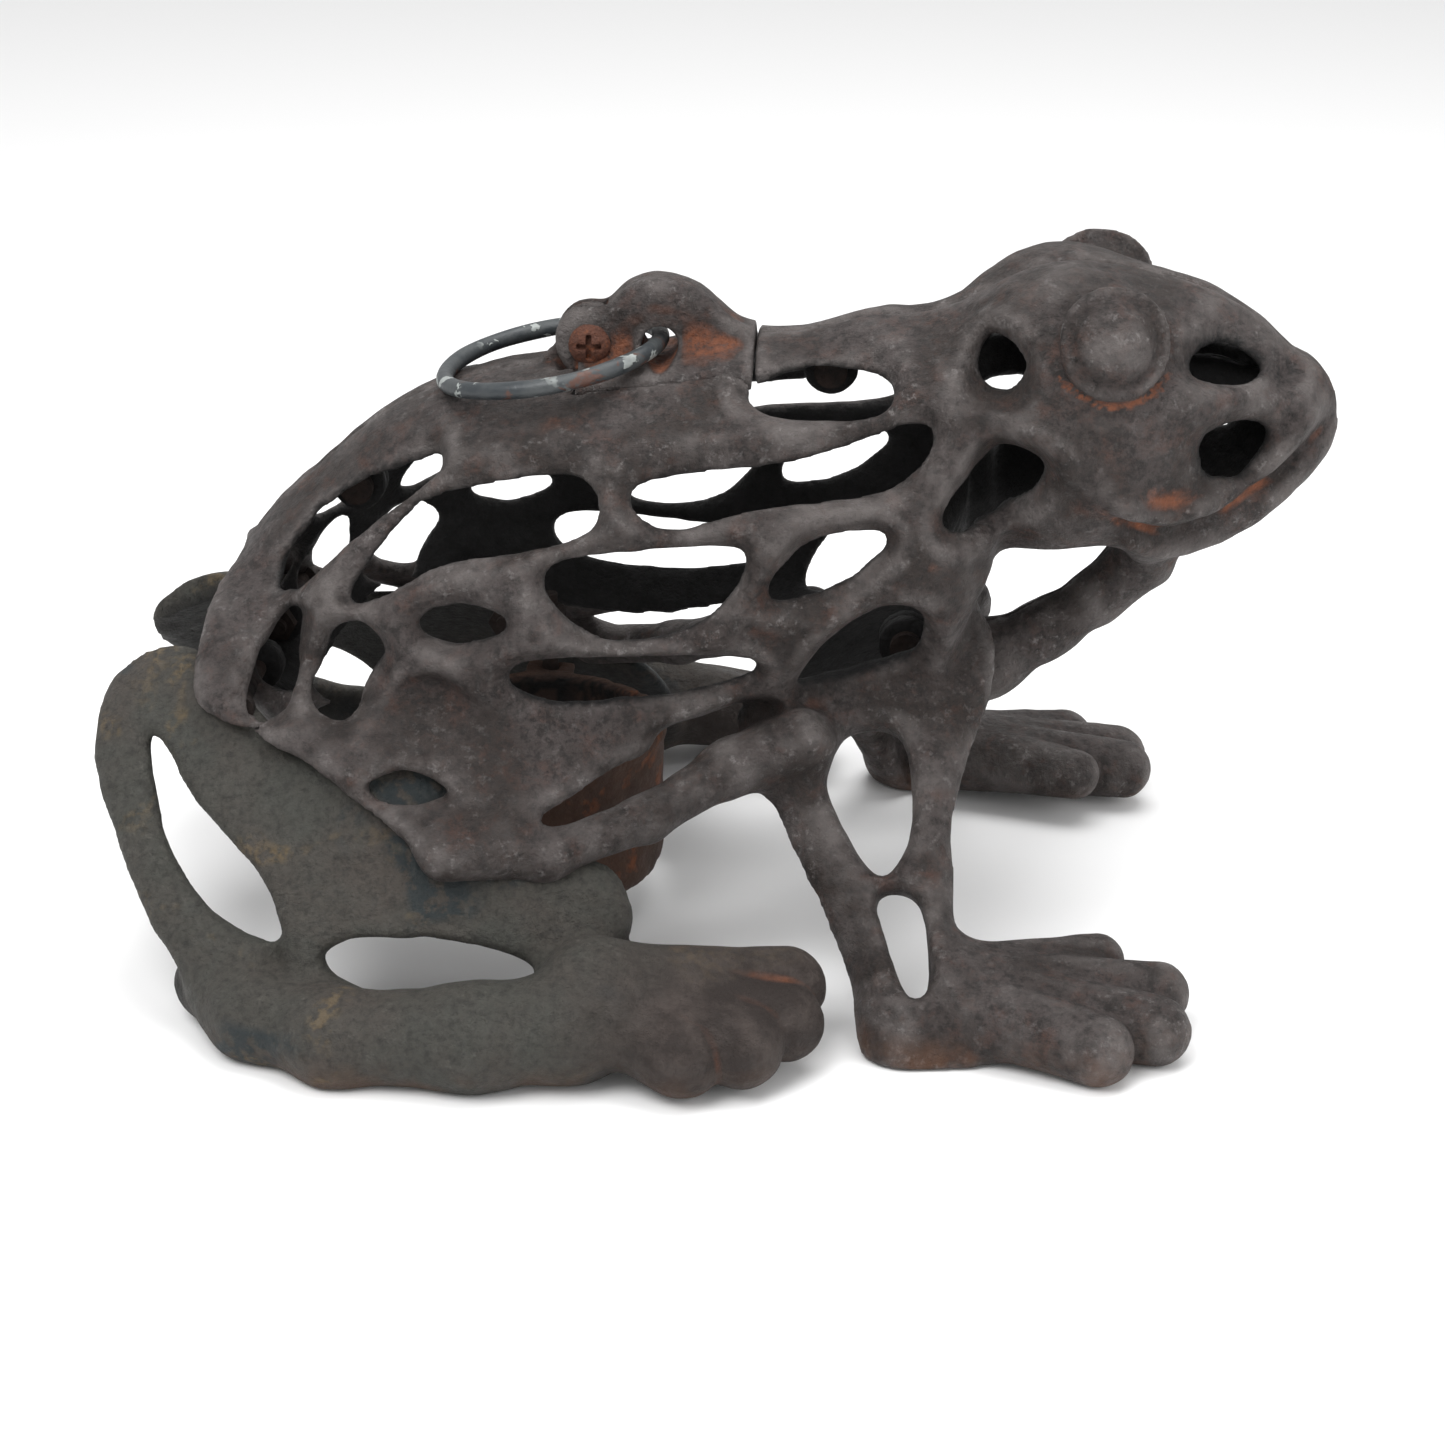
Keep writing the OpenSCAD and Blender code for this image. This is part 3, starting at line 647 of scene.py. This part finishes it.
# ---------------------------------------------------------------- haunches
def haunch_right():
    s = Space(*HAUNCH_SPACE, CASTING_STEP)
    side = (s.full(s.x), s.full(s.z))
    hip = hip_distance(s)
    dish = bank(np.maximum(PlaneMap([HAUNCH_WINDOWS[1]])(*side), 0), -1.6, 5)
    crease = bank(PlaneMap([KNEE_CREASE], closed=False)(*side), 3.6, 3.0)
    plate = smooth_max(hip + dish + crease, -(hip + HAUNCH_THICK), 5)
    plate = smooth_max(plate, PlaneMap([HAUNCH])(*side), 7)
    plate = smooth_max(plate, -PlaneMap(HAUNCH_WINDOWS)(*side), 6)
    foot = chain(s.p, REAR_SOLE, 6)
    for toe in REAR_TOES:
        foot = smooth_min(foot, rod(s.p, REAR_ANKLE, toe), 1.1)
    foot = smooth_min(foot, rod(s.p, REAR_SOLE[-1], REAR_ANKLE), 6)
    solid = smooth_min(plate, foot, 5)
    solid = solid + 0.45 * lumps(s.p, 23, 11) + 0.2 * lumps(s.p, 8, 12)
    solid = np.maximum(solid, SOLE_Z - s.z)
    solid = np.maximum(solid, np.maximum(HAUNCH_FAR_Y - s.y, HAUNCH_BACK_X - s.x))
    # Painted shade inside the haunch plate, a little weaker.
    inside_shade = painted_inside_shade(hip, HAUNCH_THICK, HAUNCH_INSIDE_SHADE) * 0.8
    toes = np.clip((s.x + 34) / 26, 0, 1) * np.clip((34 - s.z) / 12, 0, 1) + 0 * s.y
    return casting("haunch_casting_right", s, solid,
                   {"inside_shade": inside_shade, "toes": toes, "ground": 1 - s.z / GROUND_Z})


# ---------------------------------------------------------------- hatch, screw and cup
def hatch():
    low = (HINGE[0] - KNUCKLE_R - 1, -HATCH_HALF_W, 108)
    s = Space(low, (HATCH_X[1] + 1, HATCH_HALF_W, 159), SMALL_STEP)
    skin = true_distance(body_parts(s)[0], s.step)
    half_l = (HATCH_X[1] - HATCH_X[0]) / 2 - HATCH_GAP
    edge = np.maximum(np.abs(s.x - sum(HATCH_X) / 2) - half_l,
                      np.abs(s.y) - HATCH_HALF_W + HATCH_GAP)
    plate = smooth_max(smooth_max(skin, -(skin + WALL), 2), edge, 2)
    turn = np.sqrt((s.x - HINGE[0]) ** 2 + (s.z - HINGE[1]) ** 2)
    eye_turn = np.sqrt((s.x - RING_HOLE_AT[0]) ** 2 + (s.z - RING_HOLE_AT[1]) ** 2)
    ridge = PlaneMap([LUG_RIDGE])
    lug = smooth_min(turn - KNUCKLE_R + 0.2, eye_turn - LUG_R + 0.3, 3)
    lug = smooth_min(s.full(lug), ridge(s.full(s.x), s.full(s.z)), 3)
    lug = smooth_max(lug, np.abs(s.y) - LUG_HALF_W + 0.1, 3.5)
    solid = smooth_min(plate, smooth_max(lug, -(skin + WALL), 1), 5)
    solid = solid + 0.25 * lumps(s.p, 12, 21) + 0.12 * lumps(s.p, 4, 22)
    slot = np.maximum(turn - KNUCKLE_R - 0.9, np.abs(s.y) - TONGUE_HALF_W - EAR_GAP)
    for space in (slot, turn - SCREW_R - 0.15, eye_turn - RING_HOLE_R):
        solid = np.maximum(solid, -space)
    knuckle = np.maximum(turn - KNUCKLE_R, np.abs(s.y) - LUG_HALF_W)
    solid = np.maximum(solid, np.minimum(edge, knuckle))
    # The first mark is painted shade inside the hatch's wall.
    marks = {"inside_shade": painted_inside_shade(skin, WALL, HATCH_INSIDE_SHADE), "rusted": LUG_RUST * (s.z > LUG_RUST_Z)}
    return casting("hatch_casting", s, solid, marks)


def hinge_screw():
    """A pan head with a cross recess, worn round, on its shank."""
    low, high = (HINGE[0] - 6, -10, HINGE[1] - 6), (HINGE[0] + 6, 13, HINGE[1] + 6)
    s = Space(low, high, 0.28)
    x, z = s.x - HINGE[0], s.z - HINGE[1]
    turn = np.sqrt(x ** 2 + z ** 2)
    face = -LUG_HALF_W - 0.2
    dome = np.sqrt(turn ** 2 + (s.y - face - SCREW_DOME_SINK) ** 2) - SCREW_DOME_R
    head = smooth_max(smooth_max(dome, turn - SCREW_HEAD_R, 0.8), s.y - face, 0.3)
    depth = s.y - face + CROSS_DEEP - CROSS_SLOPE * turn
    cross = np.minimum(np.maximum(np.abs(x) - CROSS_HALF_W, np.abs(z) - CROSS_HALF_L),
                       np.maximum(np.abs(z) - CROSS_HALF_W, np.abs(x) - CROSS_HALF_L))
    head = smooth_max(head, -np.maximum(cross, depth), 0.4)
    shank = np.maximum(turn - SCREW_R, np.maximum(face - s.y, s.y - LUG_HALF_W - SCREW_TAIL))
    solid = np.minimum(head, shank) + 0.08 * lumps(s.p, 3, 31)
    return casting("cross_screw", s, solid, turns=1)


def candle_cup():
    """A cast cup with a rolled rim and two ears."""
    s = Space((CUP_X - 33, -41, 5), (CUP_X + 33, 41, 49), CASTING_STEP)
    away = np.sqrt((s.x - CUP_X) ** 2 + s.y ** 2)
    tall = (CUP_RIM - CUP_LOW) / 2
    outside = np.maximum(away - CUP_R + CUP_ROUND, np.abs(s.z - CUP_LOW - tall) - tall + CUP_ROUND)
    inner = CUP_ROUND + CUP_SKIN
    low_round = np.sqrt(np.maximum(away - CUP_R + inner, 0) ** 2
                        + np.maximum(CUP_LOW + inner - s.z, 0) ** 2) - CUP_ROUND
    cup = np.maximum(np.maximum(low_round, s.z - CUP_RIM + CUP_SKIN), outside - CUP_ROUND)
    cup = smooth_max(cup, -np.maximum(away - CUP_IN_R, CUP_LOW + CUP_FLOOR - s.z), 1.5)
    rim = np.sqrt((away - (CUP_R + CUP_IN_R) / 2) ** 2
                  + (s.z - CUP_RIM + CUP_BEAD_DROP) ** 2) - CUP_BEAD_R
    ears = np.maximum(np.abs(s.z - CUP_RIM + CUP_EAR_DROP) - CUP_EAR_HALF_T, CUP_IN_R + 1 - away)
    ears = np.maximum(ears, np.maximum(np.abs(s.x - CUP_X) - CUP_EAR_HALF_W,
                                       np.abs(s.y) - CUP_EAR_Y))
    solid = smooth_min(smooth_min(cup, rim, 1.5), ears, 1.5)
    solid = solid + 0.35 * lumps(s.p, 15, 41) + 0.2 * lumps(s.p, 5, 42)
    hole = np.sqrt((s.x - CUP_X) ** 2 + (np.abs(s.y) - CUP_SCREW_Y) ** 2) - CUP_HOLE_R
    solid = np.maximum(solid, -hole)
    # Painted shade on the inside of the cup, above its floor.
    inside_shade = np.clip((CUP_IN_R + 1 - away) / 1.5, 0, 1) * (s.z > CUP_LOW + 2)
    return casting("cast_cup", s, solid, {"inside_shade": inside_shade, "ground": 1 - s.z / GROUND_Z})


# ---------------------------------------------------------------- ring
def ring():
    """A hand-bent loop of round wire, with its joint worn a little."""
    rng = np.random.default_rng(51)
    turns, sides = 144, 16
    phase = rng.uniform(0, 2 * math.pi, 4)
    a = np.arange(turns) * 2 * math.pi / turns
    b = np.arange(sides) * 2 * math.pi / sides
    big = RING_R - 0.25 + 0.2 * np.sin(2 * a + phase[0]) + 0.1 * np.sin(5 * a + phase[1])
    lift = 0.15 * np.sin(3 * a + phase[2]) * np.sin(a / 2) ** 2
    wire = WIRE_R - 0.12 + 0.06 * np.sin(7 * a + phase[3])
    r = big[:, None] + wire[:, None] * np.cos(b)[None, :]
    h = lift[:, None] + wire[:, None] * np.sin(b)[None, :]
    flat = np.stack([r * np.cos(a)[:, None] - RING_R, r * np.sin(a)[:, None], h], -1)
    c, d = math.cos(RING_TILT), math.sin(RING_TILT)
    x = RING_HOLE_AT[0] + flat[..., 0] * c - flat[..., 2] * d
    z = RING_HOLE_AT[1] + flat[..., 0] * d + flat[..., 2] * c
    verts = np.stack([x, flat[..., 1], z], -1).reshape(-1, 3)
    at = np.arange(turns * sides).reshape(turns, sides)
    nxt, up = np.roll(at, -1, 0), np.roll(at, -1, 1)
    quads = np.stack([at, nxt, np.roll(nxt, -1, 1), up], -1).reshape(-1, 4)
    mesh = bpy.data.meshes.new("wire_ring")
    mesh.from_pydata((verts * MM).tolist(), [], quads.tolist())
    mesh.polygons.foreach_set("use_smooth", [True] * len(quads))
    return link("wire_ring", mesh)


# ---------------------------------------------------------------- materials
class Shader:
    """A small helper to write node trees as short lines."""

    def __init__(self, name):
        self.material = bpy.data.materials.new(name)
        self.material.use_nodes = True
        self.tree = self.material.node_tree
        self.out = self.tree.nodes["Principled BSDF"]
        self.place = self.tree.nodes.new("ShaderNodeTexCoord").outputs["Object"]

    def node(self, kind, inputs=None, **settings):
        node = self.tree.nodes.new(kind)
        for key, value in settings.items():
            setattr(node, key, value)
        for key, value in (inputs or {}).items():
            if isinstance(value, bpy.types.NodeSocket):
                self.tree.links.new(value, node.inputs[key])
            else:
                node.inputs[key].default_value = value
        return node

    def noise(self, scale, detail=4.0, rough=0.6, warp=0.0):
        node = self.node("ShaderNodeTexNoise", {
            "Vector": self.place, "Scale": scale, "Detail": detail, "Roughness": rough,
            "Distortion": warp})
        return node.outputs["Fac"]

    def mark(self, name):
        return self.node("ShaderNodeAttribute", attribute_name=name).outputs["Fac"]

    def ramp(self, value, low, high, a=0.0, b=1.0):
        """Maps low..high to a..b, and holds outside."""
        node = self.node("ShaderNodeMapRange", {
            "Value": value, "From Min": low, "From Max": high, "To Min": a, "To Max": b})
        return node.outputs["Result"]

    def math(self, kind, a, b):
        return self.node("ShaderNodeMath", {0: a, 1: b}, operation=kind).outputs[0]

    def mix(self, amount, a, b, blend="MIX"):
        node = self.node("ShaderNodeMix", {"Factor": amount}, data_type="RGBA", blend_type=blend)
        for socket, value in ((node.inputs[6], a), (node.inputs[7], b)):
            if isinstance(value, bpy.types.NodeSocket):
                self.tree.links.new(value, socket)
            else:
                socket.default_value = (*value, 1.0)
        return node.outputs[2]

    def bump(self, height, distance, strength=1.0, normal=None):
        inputs = {"Height": height, "Distance": distance, "Strength": strength}
        if normal is not None:
            inputs["Normal"] = normal
        return self.node("ShaderNodeBump", inputs).outputs["Normal"]

    def finish(self, colour, roughness, normal, metallic=0.0, specular=0.4):
        for key, value in (("Base Color", colour), ("Roughness", roughness),
                           ("Normal", normal)):
            self.tree.links.new(value, self.out.inputs[key])
        self.out.inputs["Metallic"].default_value = metallic
        self.out.inputs["Specular IOR Level"].default_value = specular
        return self.material


# The last colour on the next line is the pale crest speckle: partly wear, partly painted
# highlight.
BROWN, PURPLE, PALE_WEAR_AND_SHEEN = (0.022, 0.015, 0.0125), (0.048, 0.038, 0.036), (0.22, 0.205, 0.2)
# The first colour on the next line lightens the crests: partly bare worn iron, partly painted
# highlight.
WORN_AND_SHEEN, PIT, DULL = (0.13, 0.115, 0.11), (0.012, 0.009, 0.008), (0.03, 0.018, 0.014)
RUST, ORANGE, OCHRE = (0.075, 0.028, 0.016), (0.25, 0.075, 0.026), (0.13, 0.09, 0.042)
# The first colour here is the near-black painted shade inside the castings.
INSIDE_SHADE_BLACK, GREEN, SLATE = (0.004, 0.0035, 0.0035), (0.046, 0.046, 0.039), (0.012, 0.021, 0.025)
# The last colour on the next line is the pale speckle on the green crests: partly wear, partly
# painted highlight.
OLIVE, GREEN_PIT, GREEN_WEAR_AND_SHEEN = (0.052, 0.044, 0.037), (0.017, 0.016, 0.014), (0.17, 0.16, 0.14)
TOE, SOLE_BROWN, SOLE_GREEN = (0.05, 0.038, 0.033), (0.13, 0.055, 0.024), (0.11, 0.055, 0.03)
STEEL_DARK, STEEL_RED = (0.06, 0.025, 0.017), (0.13, 0.05, 0.03)
CUP_DARK, CUP_RED, CUP_GREY = (0.055, 0.032, 0.024), (0.085, 0.045, 0.03), (0.055, 0.07, 0.062)
PAINT_DARK, PAINT, PRIMER = (0.022, 0.027, 0.031), (0.045, 0.05, 0.052), (0.26, 0.28, 0.27)
FLOOR = (0.86, 0.86, 0.86)


def iron_grain(m):
    """Sand-cast grain: pits and pimples at three sizes."""
    broad = m.bump(m.noise(95, 4, 0.6), 0.0032, 0.55)
    coarse = m.bump(m.noise(300, 6, 0.7), 0.0022, 0.85, broad)
    return m.bump(m.noise(1100, 4, 0.7), 0.0008, 0.75, coarse)


def rust_in_hollows(m, colour, amount):
    """Orange rust, in a few hollows only."""
    hollow = m.ramp(m.mark("crest"), -0.12, -0.45)
    patch = m.ramp(m.noise(32, 3, 0.55), 0.6, 0.68, 0.0, amount)
    shade = m.mix(m.ramp(m.noise(190), 0.35, 0.65), RUST, ORANGE)
    return m.mix(m.math("MULTIPLY", hollow, patch), colour, shade)


def speckle_and_sheen(m, colour, tint, amount):
    """Pale speckle, mostly on the crests: partly wear, partly painted highlight."""
    crest = m.ramp(m.mark("crest"), 0.0, 0.5, 0.35, 1.0)
    spots = m.ramp(m.noise(420, 6, 0.75), 0.55, 0.68)
    area = m.ramp(m.noise(48, 2), 0.38, 0.62, 0.2, 1.0)
    worn = m.math("MULTIPLY", m.math("MULTIPLY", crest, spots), area)
    return m.mix(m.math("MULTIPLY", worn, amount), colour, tint)


def brown_iron():
    m = Shader("brown_iron_cast")
    base = m.mix(m.ramp(m.noise(38, 5, 0.65, 0.3), 0.41, 0.58), BROWN, PURPLE)
    base = m.mix(m.ramp(m.noise(130, 5, 0.7), 0.52, 0.72, 0.0, 0.55), base, RUST)
    base = m.mix(m.ramp(m.noise(400, 5, 0.75), 0.46, 0.6, 0.0, 0.9), base, PIT)
    # Lighter on the crests: partly bare worn iron, partly painted highlight.
    bare_and_sheen = m.math("MULTIPLY", m.ramp(m.mark("crest"), 0.0, 0.45),
                  m.ramp(m.noise(85, 5), 0.4, 0.62))
    base = m.mix(m.math("MULTIPLY", bare_and_sheen, 0.7), base, WORN_AND_SHEEN)
    # Pale speckle on the crests: partly wear, partly painted highlight.
    base = speckle_and_sheen(m, base, PALE_WEAR_AND_SHEEN, 0.75)
    base = rust_in_hollows(m, base, 0.9)
    low = m.ramp(m.mark("crest"), 0.15, -0.25)
    spread = m.math("MULTIPLY", m.mark("rusted"), m.noise(420, 7, 0.8))
    come_through = m.math("MULTIPLY", m.ramp(spread, 0.3, 0.5), low)
    base = m.mix(m.math("MULTIPLY", come_through, 0.8), base, m.mix(m.noise(420), RUST, ORANGE))
    sole = m.math("MULTIPLY", m.ramp(m.mark("ground"), 0.2, 0.9),
                  m.ramp(m.noise(70), 0.45, 0.62))
    base = m.mix(m.math("MULTIPLY", sole, 0.5), base, SOLE_BROWN)
    # Painted shade: the insides turn near-black.
    base = m.mix(m.mark("inside_shade"), base, INSIDE_SHADE_BLACK)
    rough = m.ramp(m.noise(240, 4), 0.3, 0.7, 0.5, 0.78)
    return m.finish(base, rough, iron_grain(m), metallic=0.15, specular=0.42)


def green_iron():
    m = Shader("green_iron_cast")
    base = m.mix(m.ramp(m.noise(30, 4, 0.6, 0.4), 0.38, 0.62), GREEN, OLIVE)
    base = m.mix(m.ramp(m.noise(560, 4, 0.7), 0.45, 0.68, 0.0, 0.75), base, GREEN_PIT)
    paint = m.math("MULTIPLY", m.ramp(m.noise(26, 2), 0.56, 0.62),
                   m.ramp(m.noise(230, 4), 0.42, 0.5))
    base = m.mix(m.math("MULTIPLY", paint, 0.75), base, SLATE)
    yellow = m.math("MULTIPLY", m.ramp(m.noise(34, 3, 0.5, 1.0), 0.58, 0.66),
                    m.ramp(m.noise(420), 0.45, 0.6))
    base = m.mix(m.math("MULTIPLY", yellow, 0.55), base, OCHRE)
    # Pale speckle on the crests: partly wear, partly painted highlight.
    base = speckle_and_sheen(m, base, GREEN_WEAR_AND_SHEEN, 0.4)
    toes = m.mix(m.ramp(m.noise(75, 5, 0.7), 0.44, 0.6), BROWN, TOE)
    base = m.mix(m.mark("toes"), base, toes)
    base = rust_in_hollows(m, base, 0.5)
    sole = m.math("MULTIPLY", m.ramp(m.mark("ground"), 0.25, 0.95),
                  m.ramp(m.noise(64), 0.46, 0.62))
    base = m.mix(m.math("MULTIPLY", sole, 0.5), base, SOLE_GREEN)
    # Painted shade: the insides turn near-black.
    base = m.mix(m.mark("inside_shade"), base, INSIDE_SHADE_BLACK)
    rough = m.ramp(m.noise(260, 4), 0.3, 0.7, 0.55, 0.82)
    return m.finish(base, rough, iron_grain(m), metallic=0.1, specular=0.38)


def rusty(name, base, light, patch, fleck):
    m = Shader(name)
    colour = m.mix(m.ramp(m.noise(patch, 5, 0.65), 0.35, 0.65), base, light)
    colour = m.mix(m.ramp(m.noise(520, 4), 0.56, 0.7, 0.0, 0.6), colour, fleck)
    # Painted shade: the insides turn near-black.
    colour = m.mix(m.mark("inside_shade"), colour, INSIDE_SHADE_BLACK)
    return m.finish(colour, m.ramp(m.noise(300), 0.3, 0.7, 0.6, 0.85), iron_grain(m),
                    metallic=0.1, specular=0.3)


def cup_iron():
    m = Shader("rust_iron_cast")
    base = m.mix(m.ramp(m.noise(42, 4), 0.38, 0.62), CUP_DARK, CUP_RED)
    base = m.mix(m.ramp(m.noise(36, 3, 0.5, 0.8), 0.6, 0.66, 0.0, 0.8), base, CUP_GREY)
    base = m.mix(m.ramp(m.noise(90, 4), 0.62, 0.7, 0.0, 0.6), base, ORANGE)
    # Painted shade: the insides turn near-black.
    base = m.mix(m.mark("inside_shade"), base, INSIDE_SHADE_BLACK)
    return m.finish(base, m.ramp(m.noise(300), 0.3, 0.7, 0.6, 0.85), iron_grain(m),
                    metallic=0.1, specular=0.3)


def chipped_paint():
    """Blue-black paint on the ring, chipped to grey primer and rust."""
    m = Shader("chipped_ring_paint")
    paint = m.mix(m.ramp(m.noise(150), 0.4, 0.6), PAINT_DARK, PAINT)
    primer = m.math("MULTIPLY", m.ramp(m.noise(190, 3), 0.58, 0.6),
                    m.ramp(m.noise(45), 0.44, 0.54))
    colour = m.mix(primer, paint, PRIMER)
    colour = m.mix(m.ramp(m.noise(120, 4, 0.6, 0.5), 0.62, 0.66, 0.0, 0.85), colour, RUST)
    normal = m.bump(primer, 0.0002, 0.8, m.bump(m.noise(700), 0.0003, 0.5))
    return m.finish(colour, m.ramp(m.noise(300), 0.3, 0.7, 0.35, 0.65), normal,
                    metallic=0.1, specular=0.5)


def floor_material():
    m = Shader("floor_plain")
    m.out.inputs["Base Color"].default_value = (*FLOOR, 1)
    m.out.inputs["Roughness"].default_value = 0.9
    m.out.inputs["Specular IOR Level"].default_value = 0.1
    return m.material


def paint(piece, material):
    piece.data.materials.clear()
    piece.data.materials.append(material)


# ---------------------------------------------------------------- the object
BROWN_IRON, GREEN_IRON = brown_iron(), green_iron()
DULL_STEEL = rusty("dull_steel_cast", PIT, DULL, 160, BROWN)
RUSTY_STEEL = rusty("rusty_steel_cast", STEEL_DARK, STEEL_RED, 160, ORANGE)


def add(piece, body, slot, material, *nodes):
    paint(piece, material)
    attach(piece, body)
    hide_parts(*nodes)


def side_pair(piece, name, slot, material, nodes):
    other = left_copy(piece, name + "_left")
    add(piece, "casing", slot, material, *[node + "_right" for node in nodes])
    add(other, "casing", slot, material, *[node + "_left" for node in nodes])


side_pair(casing_right(), "casing", "brown_iron", BROWN_IRON, ["shell", "head", "front_leg"])
side_pair(haunch_right(), "haunch_casting", "green_iron", GREEN_IRON, ["haunch", "rear_foot"])
add(hatch(), "hatch_lid", "brown_iron", BROWN_IRON, "hatch")
add(hinge_screw(), "casing", "rusty_steel", RUSTY_STEEL, "hinge_screw")
add(candle_cup(), "casing", "rust_iron", cup_iron(), "candle_cup")
add(ring(), "ring", "ring_paint", chipped_paint(), "lifting_ring")
for fastener in ("hinge_nut", "cup_screws", "cup_nuts", "casing_screws", "casing_nuts",
                 "haunch_screws", "haunch_nuts"):
    paint(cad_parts[fastener], DULL_STEEL)


# ---------------------------------------------------------------- studio
CAMERA_AT, CAMERA_AIM, LENS, SENSOR = (0.0383, -0.7307, 0.35), (0, 0, 0.0469), 82.2, 36.0
# Name, place, size in metres and power in watts
LAMPS = [("key", (-0.35, -0.6, 0.95), 0.7, 9), ("top", (0.15, 0.1, 1.1), 0.9, 8),
         ("fill", (0.8, -0.5, 0.4), 0.7, 3)]
LAMPS_AIM, WORLD_STRENGTH, FLOOR_HALF = (0, 0, 0.07), 0.75, 3.0


def aimed(thing, at, aim):
    thing.location = at
    thing.rotation_euler = (Vector(aim) - Vector(at)).to_track_quat("-Z", "Y").to_euler()
    bpy.context.scene.collection.objects.link(thing)
    return thing


def area_light(name, at, size, power):
    lamp = bpy.data.lights.new(name, "AREA")
    lamp.shape, lamp.size, lamp.energy = "DISK", size, power
    aimed(bpy.data.objects.new(name, lamp), at, LAMPS_AIM)


def studio():
    camera = bpy.data.cameras.new("camera")
    camera.lens, camera.sensor_width = LENS, SENSOR
    camera.dof.use_dof = False
    bpy.context.scene.camera = aimed(bpy.data.objects.new("camera", camera), CAMERA_AT,
                                     CAMERA_AIM)
    world = bpy.data.worlds.new("studio")
    world.use_nodes = True
    world.node_tree.nodes["Background"].inputs["Color"].default_value = (1, 1, 1, 1)
    world.node_tree.nodes["Background"].inputs["Strength"].default_value = WORLD_STRENGTH
    bpy.context.scene.world = world
    bpy.context.scene.view_settings.view_transform = "Standard"
    for lamp in LAMPS:
        area_light(*lamp)
    mesh = bpy.data.meshes.new("floor")
    corners = [(-FLOOR_HALF, -FLOOR_HALF, 0), (FLOOR_HALF, -FLOOR_HALF, 0),
               (FLOOR_HALF, FLOOR_HALF, 0), (-FLOOR_HALF, FLOOR_HALF, 0)]
    mesh.from_pydata(corners, [], [(0, 1, 2, 3)])
    floor = link("floor", mesh)
    paint(floor, floor_material())


studio()
